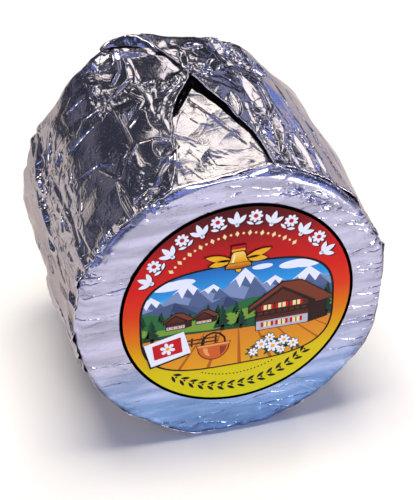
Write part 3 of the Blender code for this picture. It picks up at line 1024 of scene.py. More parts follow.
def foil_material(name, colours, roughness, crush, stretch, wrinkle, painted_reflection_heights=None):
    """Rolled household aluminium foil: a mirror broken by tiny facets, dulled by handling."""
    material, tree, shader = new_material(name)
    colours = [(*colour, 1) for colour in colours]
    place_in = add_node(tree, "TexCoord").outputs["Object"]
    wobble = add_node(tree, "TexNoise", {"Vector": place_in, "Scale": WOBBLE_SCALE, "Detail": 2.0})
    bent_in = add_node(tree, "VectorMath", {
        0: wobble.outputs["Color"], 1: (WOBBLE_REACH,) * 3, 2: place_in},
        operation='MULTIPLY_ADD').outputs[0]
    cells = add_node(tree, "Math", {
        0: tilted_cells(tree, bent_in, COARSE_CELL), 1: tilted_cells(tree, bent_in, FINE_CELL)},
        operation='ADD')
    crumpled = add_node(tree, "Attribute", attribute_name="crumpled").outputs["Fac"]
    strength = add_node(tree, "MapRange", {"Value": crumpled, "To Min": CALM_CRUSH, "To Max": crush})
    folding = add_node(tree, "MapRange", {
        "Value": crumpled, "From Max": FULL_WRINKLE_FROM, "To Min": CALM_WRINKLE, "To Max": FULL_WRINKLE})
    wrinkled = add_node(tree, "Math", {0: thin_wrinkles(tree, bent_in, stretch, wrinkle), 1: folding},
                        operation='MULTIPLY')
    height = add_node(tree, "Math", {0: cells, 1: strength, 2: wrinkled}, operation='MULTIPLY_ADD')
    handling = add_node(tree, "TexNoise", {"Vector": place_in, "Scale": RUBBING_SCALE, "Detail": 3.0})
    rubbed = add_node(tree, "Math", {0: handling, 1: RUBBING_HEIGHT, 2: height}, operation='MULTIPLY_ADD')
    cloud = add_node(tree, "TexNoise", {"Vector": place_in, "Scale": CLOUD_SCALE, "Detail": 3.0})
    # The satin ring's colour carries painted light: a painted reflection graded by height, painted shade in
    # its wrinkles and painted sheen in streaks
    if painted_reflection_heights:
        colour = satin_colour_with_painted_light(tree, place_in, colours, painted_reflection_heights, wrinkled, wrinkle)
    else:
        colour = add_node(tree, "Mix", {"Factor": cloud, 6: colours[0], 7: colours[1]},
                          data_type='RGBA').outputs[2]
    feed(tree, shader, {
        "Base Color": colour,
        "Roughness": add_node(tree, "MapRange", {
            "Value": cloud, "From Min": NOISE_LOW, "From Max": NOISE_HIGH,
            "To Min": roughness * CLEAR, "To Max": roughness * CLOUDED}),
        "Normal": add_node(tree, "Bump", {"Height": rubbed, "Strength": 1.0, "Distance": 1.0}),
        "Metallic": 1.0, "Specular Tint": FOIL_EDGE_TINT})
    return material


def printed_paper():
    """Coated paper printed in offset inks under a matt varnish, which keeps black dark."""
    material, tree, shader = new_material("printed_coated_paper")
    place_in = add_node(tree, "TexCoord").outputs["Object"]
    cockle = add_node(tree, "TexNoise", {"Vector": place_in, "Scale": COCKLE_SCALE, "Detail": 2.0})
    fibre = add_node(tree, "TexNoise", {"Vector": place_in, "Scale": FIBRE_SCALE, "Detail": 2.0})
    bowed = add_node(tree, "Math", {0: cockle, 1: COCKLE_HEIGHT}, operation='MULTIPLY')
    surface = add_node(tree, "Math", {0: fibre, 1: FIBRE_HEIGHT, 2: bowed}, operation='MULTIPLY_ADD')
    feed(tree, shader, {
        "Base Color": add_node(tree, "Attribute", attribute_name="ink").outputs["Color"],
        "Roughness": add_node(tree, "MapRange", {
            "Value": cockle, "From Min": NOISE_LOW, "From Max": NOISE_HIGH,
            "To Min": VARNISH_LOW, "To Max": VARNISH_HIGH}),
        "Normal": add_node(tree, "Bump", {"Height": surface, "Strength": 1.0, "Distance": 1.0}),
        "Specular IOR Level": VARNISH_GLOSS})
    return material


def finish_piece(piece, material, node):
    """Give a piece its material and body, and hide the CAD node that it stands for."""
    piece.data.materials.append(material)
    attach(piece, "root")
    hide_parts(node)


def foil_piece(name, columns, rows, rule, material, flip=False):
    """Lay one sheet of foil as a finished smooth piece."""
    piece = sheet(name, columns, rows, rule, flip)
    piece.data.shade_smooth()
    finish_piece(piece, material, "wrapped_cheese")


def foil_thickness():
    """Thickness of the foil in millimetres, drawn thicker than real so that its edge shows."""
    return bpy.context.scene.cheese_foil.thickness / MM


# Inks of the label. A graded one gives its colour at heights in mm from the label's middle
BLACK = "#0B0A12"
MAROON = "#3C060C"
WHITE = "#EDF2FF"
CREAM = "#F6E3A4"
GOLD = "#F3B21C"
DEEP_GOLD = "#B8660E"
SKY = ((18, "#1B62B4"), (8, "#2E9BE2"), (0, "#A6DCF4"))
FAR_PEAKS = "#7F93BC"
FAR_SHADE = "#54668F"
NEAR_PEAKS = "#4A5C80"
PINE = "#12392A"
HILL = "#2C6B3C"
MEADOW = "#79A03C"
LOW_HILL = "#1D5236"
FIELD = ((-9, "#D98324"), (-26, "#E8A21E"))
FURROW = "#B4601C"
TIMBER = "#5A2A20"
DARK_TIMBER = "#2E1716"
STONE = "#B9BCC8"
RED = "#C5121A"
ROOF = "#7A3A26"
DARK_PEAKS = "#35466A"
COPPER = "#D2622A"
BRIGHT_COPPER = "#F0A060"
DARK_COPPER = "#8E3A1C"
PALE_GOLD = "#FFF3C0"
POLISHED = ((24, "#FFE27A"), (19, "#F2AC1E"), (16, "#B05E10"))
GROUND = ((41, "#3A060C"), (33, "#6C0B12"), (24, "#B81418"), (12, "#D81A14"), (2, "#DE3A10"),
          (-8, "#E07808"), (-15, "#DFA404"), (-24, "#DCC60C"), (-41, "#D6D414"))

# Real films of ink are ten times thinner; these are thick enough to stay apart
INK_STEP = 0.012
FILM = 1.5 * INK_STEP

# Black lines round shapes, in mm
FINE_LINE, LINE, BOLD_LINE = 0.3, 0.35, 0.4

# An outline that grows is cut off where it folds back or is sharper than this
FOLDED_BACK, SHARPEST = 0.2, 0.45

# Reach in which a cut through a film takes a corner as lying on it, in mm
CUT_REACH = 0.001

# Sides of the label's round edge, and width of its black rim in mm
RIM_SIDES, RIM_WIDTH = 160, 1.1

# Rows of ornaments round the label: first and last angle from the top, and how many
GARLAND, BEADS = (-63, 61, 13), (-51, 41, 23)
WREATH, DOTS = (222, 138, 15), (205, 155, 21)
GARLAND_RADIUS, WREATH_RADIUS, BEAD_RADIUS = 33.1, 34.6, 29.6

# The picture's frame: middle, half width, half height, black border, and how round its corners are
FRAME_UP, FRAME_WIDE, FRAME_HIGH, FRAME_BORDER, FRAME_ROUND = -4, 33.5, 21, 0.8, 0.62

# Landscape, in mm from the label's middle. Each hill and ridge runs down to the foot
FOOT = [(-40, -30), (40, -30)]
CLOUDS = ((-24, 12.6, 4.2), (-19.5, 13.3, 3.2), (8.5, 14.6, 2.4), (20, 13.4, 3.8), (24.5, 12.6, 3.0))
FAR_RIDGE = [
    (-40, 2), (-30, 9.4), (-26, 6), (-17.5, 13.6), (-12.5, 8.6), (-8.5, 10.6), (-5, 7.5), (2.5, 15.2),
    (9, 7.5), (13, 10), (18, 6), (25, 11.6), (31, 6), (40, 9)]
NEAR_RIDGE = [
    (-40, 5), (-33, 3), (-22, 5.6), (-13, 1.5), (-4, 4.6), (5, 1), (14, 4.5), (24, 1), (40, 4)]
FIELD_EDGE = [(-40, -9.5), (-20, -8.6), (0, -9.8), (20, -11), (40, -10)]
NEAR_FIRS = ((-30, -9.5, 9), (-5.4, -8.6, 9.5), (1.2, -9.2, 7.4), (31.5, -10, 10))
FAR_HUTS = ((-25, -5.6, 6.4), (-14.5, -5.0, 5.2))
FLOWER_SPOTS = (
    (8.5, -18.6, 2.3), (12.6, -20.2, 2.6), (16.6, -18.2, 2.2), (11.5, -16.2, 1.9), (20.0, -20.4, 2.1),
    (5.6, -21.4, 1.8), (15.6, -22.3, 1.7))

# A peak's shaded flank, as shares of its height, and the ragged foot of its snow: the share of the
# way out to each side, and the rise as a share of the snow's depth
FLANK = ((0, 0), (-0.16, 0.45), (0.1, 0.6), (-0.05, 1))
FLANK_HEIGHT, FLANK_SLOPE, FLANK_SHARE = 1.9, 1.6, 0.8
SNOW_LEAST, SNOW_MOST, SNOW_DEPTH = 1.5, 6, 0.75
SNOW_FOOT = ((-1, 0), (-0.6, 0.22), (-0.35, -0.3), (0, 0.3), (0.4, -0.2), (0.7, 0.2), (1, 0))


def spread(first, last, count):
    """Evenly spaced values from first to last."""
    return [first + (last - first) * step / (count - 1) for step in range(count)]


def mirrored(half):
    """Close the right half of an outline by its mirror image."""
    return half + [(-x, y) for x, y in half[-2:0:-1]]


def circle(radius, sides=28):
    """Outline of a circle."""
    turns = [math.tau * step / sides for step in range(sides)]
    return [(radius * math.cos(t), radius * math.sin(t)) for t in turns]


def box(left, low, right, high):
    """Outline of an upright rectangle."""
    return [(left, low), (right, low), (right, high), (left, high)]


def leaf(length, width):
    """Outline of a pointed leaf that stands on its tip."""
    return mirrored([(width / 2 * math.sin(math.pi * t) ** 0.8, length * t) for t in spread(0, 1, 8)])


def flower(petals, outer, inner, steps=6):
    """Outline of a round flower with petals."""
    count = petals * steps
    outline = []
    for step in range(count):
        turn = math.tau * step / count
        reach = inner + (outer - inner) * abs(math.cos(turn * petals / 2)) ** 0.7
        outline.append((reach * math.sin(turn), reach * math.cos(turn)))
    return outline


def moved(points, across, up, turn=0, size=1):
    """Turn points clockwise, scale them and move them."""
    c, s = math.cos(math.radians(turn)), math.sin(math.radians(turn))
    return [(across + size * (x * c + y * s), up + size * (y * c - x * s)) for x, y in points]


def on_arc(points, radius, angle):
    """Set points upright on a circle round the label's middle, at an angle from the top."""
    turn = math.radians(angle)
    return moved(points, radius * math.sin(turn), radius * math.cos(turn), angle)


def grown(points, amount):
    """Move an outline outwards by an amount."""
    area = sum(xa * yb - xb * ya for (xa, ya), (xb, yb) in zip(points, points[1:] + points[:1]))
    side = 1 if area > 0 else -1
    outline = []
    for (xa, ya), (x, y), (xb, yb) in zip(points[-1:] + points[:-1], points, points[1:] + points[:1]):
        before = Vector((x - xa, y - ya)).normalized()
        after = Vector((xb - x, yb - y)).normalized()
        way = (before + after).normalized() if (before + after).length > FOLDED_BACK else before
        reach = amount * side / max(way.dot(after), SHARPEST)
        outline.append((x + way.y * reach, y - way.x * reach))
    return outline


def window_outline(grow=0):
    """The picture's frame: a rectangle with very round corners."""
    outline = []
    for x, y in circle(1, 72):
        outline.append(((FRAME_WIDE + grow) * math.copysign(abs(x) ** FRAME_ROUND, x),
                        FRAME_UP + (FRAME_HIGH + grow) * math.copysign(abs(y) ** FRAME_ROUND, y)))
    return outline


WINDOW = window_outline()


def clipped(points):
    """The part of an outline inside the picture's frame."""
    for (xa, ya), (xb, yb) in zip(WINDOW, WINDOW[1:] + WINDOW[:1]):
        inside = []
        for (x, y), (u, v) in zip(points, points[1:] + points[:1]):
            here = (xb - xa) * (y - ya) - (yb - ya) * (x - xa)
            there = (xb - xa) * (v - ya) - (yb - ya) * (u - xa)
            if here >= 0:
                inside.append((x, y))
            if here * there < 0:
                share = here / (here - there)
                inside.append((x + (u - x) * share, y + (v - y) * share))
        points = inside
        if len(points) < 3:
            return []
    return points


def ink_at(ink, up):
    """Linear colour of an ink, or of a graded ink at a height."""
    if isinstance(ink, str):
        return (*linear(ink), 1)
    heights = [height for height, _ in reversed(ink)]
    colours = np.array([linear(colour) for _, colour in reversed(ink)])
    return (*(float(np.interp(up, heights, colours[:, i])) for i in range(3)), 1)


def lay(bm, points, level, ink, line=0):
    """Print one shape as a thin closed film of ink, over a black line where one is wanted."""
    if line:
        lay(bm, grown(points, line), level, BLACK)
        level += 1
    if len(points) < 3:
        return
    back = LABEL_LOW.y - level * INK_STEP + FILM
    corners = [bm.verts.new((LABEL_X + x, back, LABEL_Z + y)) for x, y in points]
    top, = bmesh.ops.extrude_discrete_faces(bm, faces=[bm.faces.new(corners)])["faces"]
    bmesh.ops.translate(bm, verts=top.verts[:], vec=(0, -FILM, 0))
    walls = [edge_loop.link_loop_radial_next.face for edge_loop in top.loops]
    film = [top, *walls, bm.faces.new(corners[::-1])]
    if not isinstance(ink, str):
        edges = dict.fromkeys(edge for face in film for edge in face.edges)
        film += [*corners, *top.verts, *edges]
        for height, _ in ink:
            film = bmesh.ops.bisect_plane(bm, geom=film, dist=CUT_REACH, plane_no=(0, 0, 1),
                                          plane_co=(0, 0, LABEL_Z + height))["geom"]
    colour = bm.loops.layers.float_color["ink"]
    for face in film:
        if not isinstance(face, bmesh.types.BMFace):
            continue
        for loop in face.loops:
            loop[colour] = ink_at(ink, loop.vert.co.z - LABEL_Z)


def lay_in(bm, points, level, ink, line, *spot):
    """Print a shape at a spot (across, up, turn, size), cut off at the picture's frame."""
    lay(bm, clipped(moved(points, *spot)), level, ink, line)


def print_ground(bm):
    """Black rim and the ground that runs from maroon over red and orange to yellow."""
    lay(bm, circle(LABEL_RADIUS, RIM_SIDES), 0, BLACK)
    lay(bm, circle(LABEL_RADIUS - RIM_WIDTH, RIM_SIDES), 1, GROUND)


def palmette():
    """Three leaves on a bud."""
    return [leaf(5.6, 2.0), moved(leaf(4.3, 1.7), 0.35, 0.5, 42), moved(leaf(4.3, 1.7), -0.35, 0.5, -42),
            moved(circle(0.75, 14), 0, 0.1)]


def rosette():
    """A round flower between two low leaves."""
    return [moved(flower(8, 2.5, 1.5), 0, 3.1), moved(leaf(2.9, 1.1), 0.2, -0.2, 68),
            moved(leaf(2.9, 1.1), -0.2, -0.2, -68)]


def print_garland(bm):
    """White palmettes and rosettes round the top, and a row of cream beads inside them."""
    for step, angle in enumerate(spread(*GARLAND)):
        motif = rosette() if step % 2 else palmette()
        for shape in motif:
            shadow = moved(on_arc(shape, GARLAND_RADIUS, angle), 0.35, -0.3)
            lay(bm, grown(shadow, 0.12), 2, MAROON)
        for number, shape in enumerate(motif):
            lay(bm, on_arc(shape, GARLAND_RADIUS, angle), 3 + number % 3, WHITE)
        if step % 2:
            lay(bm, on_arc(moved(circle(0.8, 16), 0, 3.1), GARLAND_RADIUS, angle), 6, RED)
    diamond = [(0, 1.15), (-0.75, 0), (0, -1.15), (0.75, 0)]
    for step, angle in enumerate(spread(*BEADS)):
        lay(bm, on_arc(circle(0.45, 12) if step % 2 else diamond, BEAD_RADIUS, angle), 2, CREAM)


def print_lower_wreath(bm):
    """Black sprig along the lower rim, with a row of small dots above it."""
    for angle in spread(*WREATH):
        for side, turn in ((0.3, -62), (-0.3, -118)):
            lay(bm, on_arc(moved(leaf(3.4, 1.15), 0, side, turn), WREATH_RADIUS, angle), 2, BLACK)
        lay(bm, on_arc(circle(0.42, 10), WREATH_RADIUS, angle - 3), 2, BLACK)
    for angle in spread(*DOTS):
        lay(bm, on_arc(circle(0.3, 8), BEAD_RADIUS, angle), 2, BLACK)


def print_peaks(bm, level, line, ink, shade, snow):
    """A mountain ridge down to the foot, with a shaded flank and snow on each peak."""
    lay(bm, clipped(FOOT + line[::-1]), level, ink)
    for (ua, wa), (u, w), (ub, wb) in zip(line, line[1:], line[2:]):
        if w < wa or w < wb:
            continue
        drop = min(w - wa, w - wb, SNOW_MOST) + SNOW_LEAST
        slope_a, slope_b = (u - ua) / (w - wa), (ub - u) / (w - wb)
        high = FLANK_HEIGHT * drop
        corner = (min(slope_b, FLANK_SLOPE) * FLANK_SHARE, 1)
        flank = [(u + across * high, w - down * high) for across, down in (*FLANK, corner)]
        lay(bm, clipped(flank), level + 1, shade)
        if snow:
            depth = drop * SNOW_DEPTH
            cap = [(u, w + 0.05)]
            for share, rise in SNOW_FOOT:
                slope = slope_a if share < 0 else slope_b
                cap.append((u + share * slope * depth, w - depth + rise * drop))
            lay(bm, clipped(cap), level + 2, WHITE)


def print_hill(bm, level, up, swing, period, phase, ink):
    """A rolling hill down to the foot."""
    crest = [(u, up + swing * (math.sin((u + phase) / period) + 0.4 * math.sin(u / period * 2.3)))
             for u in spread(36, -36, 37)]
    lay(bm, clipped(FOOT + crest), level, ink)


def print_fir(bm, level, u, w, size):
    """A fir tree of four ragged tiers, lit on its left side."""
    right, left = [], []
    for tier in range(4):
        low, half = 0.06 + 0.22 * tier, 0.34 - 0.07 * tier
        right += [(half, low), (half * 0.42, low + 0.13)]
        left += [(-half, low), (-half * 0.42, low + 0.13)]
    tip = (0, 1.05)
    lay_in(bm, box(-0.07, -0.1, 0.07, 0.15), level, DARK_TIMBER, 0, u, w, 0, size)
    lay_in(bm, [*left, tip] + right[::-1], level, PINE, 0, u, w, 0, size)
    lay_in(bm, [*left, tip, (-0.06, 0.5)], level + 1, LOW_HILL, 0, u, w, 0, size)


def chalet_shapes(rows):
    """A chalet as wide as 1: outline, level over the first, ink and line of each shape."""
    roof = [(-0.14, 0.44), (0.5, 0.88), (1.14, 0.44), (1.5, 0.5), (0.86, 1.0), (0.5, 1.02), (-0.14, 0.57)]
    gable = [(-0.14, 0.44), (0.5, 0.86), (1.14, 0.44), (1.14, 0.5), (0.5, 0.93), (-0.14, 0.5)]
    shapes = [
        ([(0, 0), (1, 0), (1, 0.56), (0.5, 0.9), (0, 0.56)], 0, TIMBER, FINE_LINE),
        ([(1, 0), (1.34, 0.07), (1.34, 0.6), (1, 0.56)], 0, DARK_TIMBER, FINE_LINE),
        (box(0, 0, 1, 0.2), 2, STONE, 0)]
    shapes += [(box(0.02, low, 0.98, low + 0.014), 2, DARK_TIMBER, 0) for low in spread(0.26, 0.56, 5)]
    shapes += [(roof, 2, ROOF, FINE_LINE), (gable, 4, DARK_TIMBER, 0)]
    shapes += [(box(left, 0.33, left + 0.035, 0.41), 4, DARK_TIMBER, 0) for left in spread(0, 0.96, 9)]
    beams = (box(-0.04, 0.3, 1.04, 0.33), box(-0.04, 0.4, 1.04, 0.425))
    shapes += [(beam, 4, DARK_TIMBER, 0) for beam in beams]
    for low in (0.055, 0.45)[:rows]:
        for left in spread(0.14, 0.7, 3):
            shapes += [(box(left - 0.05, low, left + 0.19, low + 0.11), 5, RED, 0),
                       (box(left, low, left + 0.14, low + 0.11), 6, CREAM, 0),
                       (box(left + 0.06, low, left + 0.08, low + 0.11), 7, DARK_TIMBER, 0)]
    return shapes


def print_chalet(bm, level, u, w, size, rows=2):
    """A timber house on a stone foot: gable wall, wide roof, balcony, and windows with shutters."""
    for points, step, ink, line in chalet_shapes(rows):
        lay_in(bm, points, level + step, ink, line, u, w, 0, size)


def print_bell(bm, level):
    """A cow bell on its strap at the top of the frame, between two gold leaves."""
    for side in (-1, 1):
        for turn, length in ((74, 9.5), (98, 8)):
            lay(bm, moved(leaf(length, 2.5), side * 2.2, 19.4, side * turn), level, GOLD, FINE_LINE)
    body = mirrored([(0, 5.2), (1.7, 5.1), (2.3, 4.2), (2.7, 2.2), (3.6, 0.5), (4.3, -0.3), (4.3, -1.2),
                     (0, -1.6)])
    shine = [(-1.6, 4.2), (-1.1, 4.4), (-1.7, 0.6), (-2.6, 0.4)]
    for points, up, step, ink, line in (
            (box(-2.3, 3.6, 2.3, 7.0), 18, 2, RED, LINE), (box(-2.3, 4.8, 2.3, 5.7), 18, 4, GOLD, 0),
            (circle(0.95, 18), 15.2, 4, GOLD, FINE_LINE), (body, 17.4, 6, POLISHED, BOLD_LINE),
            (shine, 17.4, 8, PALE_GOLD, 0), (box(-3.6, 0.5, 3.6, 0.95), 17.4, 8, DEEP_GOLD, 0)):
        lay(bm, moved(points, 0, up), level + step, ink, line)


def print_kettle(bm, level, u, w):
    """A round copper kettle that hangs from its bow."""
    bow = [(-4.6, 0), (-4.2, 3.2), (-2.4, 5.4), (0, 6.1), (2.4, 5.4), (4.2, 3.2), (4.6, 0)]
    inside = [(x * 0.86, y * 0.88) for x, y in bow[::-1]]
    bowl = [(5.4 * math.cos(t), 5.6 * math.sin(t)) for t in spread(math.pi, math.tau, 17)]
    shine = [(-3.8, -0.4), (-2.2, -0.4), (-1.9, -2.4), (-1.2, -4.2), (-2.6, -3.6), (-3.5, -2.2)]
    shade = [(2.2, -0.6), (4.6, -0.6), (4.0, -2.8), (2.4, -4.4)]
    for points, step, ink, line in (
            (bow + inside, 0, BLACK, 0), (bowl + [(5.7, 0.7), (-5.7, 0.7)], 1, COPPER, LINE),
            (box(-5.7, 0.1, 5.7, 0.9), 3, BRIGHT_COPPER, 0), (shine, 3, BRIGHT_COPPER, 0),
            (shade, 3, DARK_COPPER, 0)):
        lay_in(bm, points, level + step, ink, line, u, w)


def print_flowers(bm, level):
    """White mountain flowers with yellow hearts on green leaves."""
    for number, (u, w, size) in enumerate(FLOWER_SPOTS):
        for turn in (100, 150, 215, 262):
            lay_in(bm, leaf(size * 1.8, size * 0.55), level, LOW_HILL, 0, u, w, turn + 9 * number)
    for number, (u, w, size) in enumerate(FLOWER_SPOTS):
        petals = moved(flower(7, size, size * 0.5), u, w, 13 * number)
        lay(bm, clipped(grown(petals, 0.2)), level + 1 + number % 3, BLACK)
        lay(bm, clipped(petals), level + 4 + number % 3, WHITE)
        lay_in(bm, circle(size * 0.3, 14), level + 7, GOLD, 0, u, w)


def print_picture(bm):
    """A mountain valley seen through the frame, printed from its far end to the near one."""
    lay(bm, window_outline(FRAME_BORDER), 2, BLACK)
    lay(bm, WINDOW, 3, SKY)
    for number, (u, w, wide) in enumerate(CLOUDS):
        cloud = [(x * 1.5, y * 0.45) for x, y in circle(wide)]
        lay_in(bm, cloud, 4 + 0.3 * (number % 2), WHITE, 0, u, w)
    print_peaks(bm, 5, FAR_RIDGE, FAR_PEAKS, FAR_SHADE, True)
    print_peaks(bm, 8, NEAR_RIDGE, NEAR_PEAKS, DARK_PEAKS, False)
    print_hill(bm, 10, 0.2, 1.6, 6.5, 3, HILL)
    print_hill(bm, 11, -3.4, 1.3, 8, 12, MEADOW)
    for step, u in enumerate(spread(-33, 31.8, 13)):
        print_fir(bm, 12 + 0.1 * step, u + 1.1 * math.sin(step * 2.1), -2.6 + 0.9 * math.sin(step * 1.7),
                  4.4 + 0.8 * math.sin(step * 3.3))
    print_hill(bm, 14, -7.2, 1.2, 9, 0, LOW_HILL)
    for u, w, size in FAR_HUTS:
        print_chalet(bm, 15, u, w, size, 1)
    lay(bm, clipped(FOOT + FIELD_EDGE[::-1]), 23, FIELD)
    for u in spread(-44, 44, 9):
        furrow = [(u * 0.55, -9.6), (u * 0.55 + 0.5, -9.6), (u * 1.05 + 1.4, -26), (u * 1.05, -26)]
        lay(bm, clipped(furrow), 24, FURROW)
    for number, (u, w, size) in enumerate(NEAR_FIRS):
        print_fir(bm, 24.5 + 0.15 * number, u, w, size)
    print_chalet(bm, 26.2, 6.5, -12.2, 18.5)
    for u in spread(-33, -7.8, 7):
        lay_in(bm, box(-0.35, -1.8, 0.35, 1.8), 27, DARK_TIMBER, 0, u, -12.6, 3)
    for height in (-13.4, -11.8):
        rail = [(-34, height), (-7, height - 0.3), (-7, height + 0.3), (-34, height + 0.6)]
        lay(bm, clipped(rail), 28, TIMBER)
    print_kettle(bm, 29, -8.6, -15.6)
    print_flowers(bm, 29)


def print_card(bm, level):
    """A small tilted card with a red field and a flower in it."""
    card = box(-7.2, -5.0, 7.2, 5.0)
    field = [(-5.4, -2.6), (4.6, -3.4), (5.6, 3.1), (-4.6, 3.5)]
    for step, (points, ink) in enumerate((
            (moved(card, -0.6, -0.7), BLACK), (card, WHITE), (field, RED),
            (moved(flower(6, 2.7, 1.0), 0.1, 0.1), WHITE), (moved(circle(0.75, 14), 0.1, 0.1), GOLD))):
        lay(bm, moved(points, -24.8, -13.6, -14), level + step, ink)


# Lights: name, azimuth from +Y towards +X, elevation, distance m, width m, height m, watts, colour
LIGHTS = (
    ("back_light", 14, 35, 1.1, 0.28, 0.46, 0.85, "#FFF8F2"),
    ("top_light", 0, 88, 2.6, 1.7, 1.2, 68, "#FFFAF0"),
    ("sky_panel", 174, 38, 1.4, 1.0, 1.1, 3.9, "#8AA2F4"),
    ("front_light", 151, 4, 1.5, 0.4, 0.3, 8, "#F8F4F0"),
    ("left_blue", 240, 18, 1.4, 0.6, 0.6, 1.3, "#94A8EE"),
    ("right_blue", 122, 18, 1.4, 0.6, 0.6, 1.3, "#94A8EE"),
    ("right_strip", 45, 4, 1.1, 0.4, 0.24, 0.4, "#7C9EFF"),
    ("right_card", 33, 27, 1.2, 0.22, 0.33, 0.16, "#B4BCE8"),
    ("right_spark", 54, 36, 1.3, 0.22, 0.22, 1.6, "#FFFFFF"),
    ("right_glint", 43, 13, 1.2, 0.16, 0.09, 0.2, "#FFF8EC"),
    ("left_spark", -50, 42, 1.3, 0.12, 0.1, 0.4, "#FFF6E4"),
    ("left_glint", -72, 30, 1.3, 0.2, 0.2, 1.2, "#FFF6E4"),
    ("left_streak", -41, 0.5, 1.2, 0.4, 0.03, 0.06, "#FFF6E4"),
    ("left_card", -36, 14, 1.2, 0.5, 0.16, 0.05, "#E8E4FF"),
    ("far_card", -10, 60, 1.2, 1.0, 0.25, 0.4, "#86A4FF"),
    ("left_strip", -17, 40, 1.2, 0.1, 0.5, 0.36, "#FFF6EE"),
    ("right_sky", 54, 46, 1.2, 0.6, 0.3, 0.3, "#6F95FF"),
    ("left_sky", -61, 26, 1.2, 0.4, 0.5, 0.5, "#6F95FF"),
)

# The camera, from the photo's label and outline: degrees, degrees, mm, mm, and its aim in mm
CAMERA_AZIMUTH = -15.39
CAMERA_ELEVATION = 35.75
CAMERA_DISTANCE = 660.0
CAMERA_LENS = 133.0
CAMERA_CENTRE_DEPTH = 47.63
AIM_RIGHT, AIM_UP = 4.07, -7.3

# What the eye sees of the room past the floor's edge
PALE_ROOM = (0.9, 0.92, 0.95, 1)
FLOOR_HALF, FLOOR_SINK = 1.0, 0.2 * MM
FLOOR_ROUGHNESS = 0.9


def toward(azimuth, elevation):
    """Unit vector to an azimuth from +Y towards +X and an elevation, in degrees."""
    a, e = math.radians(azimuth), math.radians(elevation)
    return Vector((math.sin(a) * math.cos(e), math.cos(a) * math.cos(e), math.sin(e)))


def light_panel(name, azimuth, elevation, distance, width, height, power, colour):
    """A rectangular soft light that faces the drum."""
    data = bpy.data.lights.new(name, 'AREA')
    data.shape = 'RECTANGLE'
    data.size, data.size_y = width, height
    data.energy = power
    data.color = linear(colour)
    lamp = bpy.data.objects.new(name, data)
    way = toward(azimuth, elevation)
    lamp.location = Vector((0, 0, AXIS_Z * MM)) + way * distance
    lamp.rotation_euler = way.to_track_quat('Z', 'Y').to_euler()
    bpy.context.scene.collection.objects.link(lamp)


def build_camera():
    """The camera at the photo's viewing angle."""
    data = bpy.data.cameras.new("camera")
    data.lens = CAMERA_LENS
    data.clip_start = 0.01
    camera = bpy.data.objects.new("camera", data)
    back = toward(180 - CAMERA_AZIMUTH, CAMERA_ELEVATION)
    right = (-back).cross(Vector((0, 0, 1))).normalized()
    up = right.cross(-back)
    centre = Vector((AXIS_X, FACE_Y + CAMERA_CENTRE_DEPTH, AXIS_Z))
    aim = centre + right * AIM_RIGHT + up * AIM_UP
    spot = centre + back * CAMERA_DISTANCE
    camera.location = spot * MM
    camera.rotation_euler = (aim - spot).to_track_quat('-Z', 'Y').to_euler()
    bpy.context.scene.collection.objects.link(camera)
    bpy.context.scene.camera = camera


def build_world(settings):
    """A room that is dim to the foil's reflections and pale to the eye."""
    world = bpy.data.worlds.new("room")
    world.use_nodes = True
    tree = world.node_tree
    dim = tree.nodes["Background"]
    feed(tree, dim, {"Color": (*settings.room_colour, 1), "Strength": settings.room_strength})
    pale = add_node(tree, "Background", {"Color": PALE_ROOM, "Strength": 1.0})
    seen = add_node(tree, "LightPath").outputs["Is Camera Ray"]
    both = add_node(tree, "MixShader", {0: seen, 1: dim, 2: pale})
    feed(tree, tree.nodes["World Output"], {"Surface": both})
    bpy.context.scene.world = world


class CheeseFoilSettings(bpy.types.PropertyGroup):
    """Thickness, colours and dullness of the foil"""
    thickness: bpy.props.FloatProperty(
        name="Edge thickness", description="Thickness of the foil's free edges", default=0.12 * MM,
        unit='LENGTH')
    bright_colour: bpy.props.FloatVectorProperty(
        name="Side foil", description="Colour of the bright foil round the side", size=3,
        default=linear("#C6C0C2"), subtype='COLOR')
    worn_colour: bpy.props.FloatVectorProperty(
        name="Side foil, handled", description="Colour of the foil where hands have dulled it", size=3,
        default=linear("#B4B2BC"), subtype='COLOR')
    inner_colour: bpy.props.FloatVectorProperty(
        name="Inner layer", description="Colour of the foil that shows between the two ends", size=3,
        default=linear("#D6CFC9"), subtype='COLOR')
    inner_roughness: bpy.props.FloatProperty(
        name="Inner roughness", description="Roughness of the layer between the ends", default=0.14,
        subtype='FACTOR')
    # The two ends of the face's painted reflection: lavender at the top, blue at the foot where the
    # reflected floor lies in shade
    cool_colour: bpy.props.FloatVectorProperty(
        name="Face foil, upper", description="Colour of the satin foil at the top of the face", size=3,
        default=linear("#B5B5CF"), subtype='COLOR')
    painted_reflection_low_colour: bpy.props.FloatVectorProperty(
        name="Face foil, lower", description="Colour of the satin foil at the foot of the face", size=3,
        default=linear("#88ADE6"), subtype='COLOR')
    bright_roughness: bpy.props.FloatProperty(
        name="Side roughness", description="Roughness of the bright foil", default=0.09, subtype='FACTOR')
    handled_roughness: bpy.props.FloatProperty(
        name="Left end roughness", description="Roughness of the foil's left end, dulled by handling",
        default=0.115, subtype='FACTOR')
    satin_roughness: bpy.props.FloatProperty(
        name="Face roughness", description="Roughness of the satin foil", default=0.22, subtype='FACTOR')


class CheeseStageSettings(bpy.types.PropertyGroup):
    """Brightness of the lamps, and colours of the room and the floor"""
    light_scale: bpy.props.FloatProperty(
        name="Light", description="Brightness of all lamps", default=1.0, subtype='FACTOR')
    room_colour: bpy.props.FloatVectorProperty(
        name="Room", description="Colour of the dim room", size=3, default=linear("#8C94B4"),
        subtype='COLOR')
    room_strength: bpy.props.FloatProperty(
        name="Room strength", description="Brightness of the dim room", default=0.2, subtype='FACTOR')
    floor_colour: bpy.props.FloatVectorProperty(
        name="Floor", description="Colour of the floor", size=3, default=linear("#FCF8F0"), subtype='COLOR')


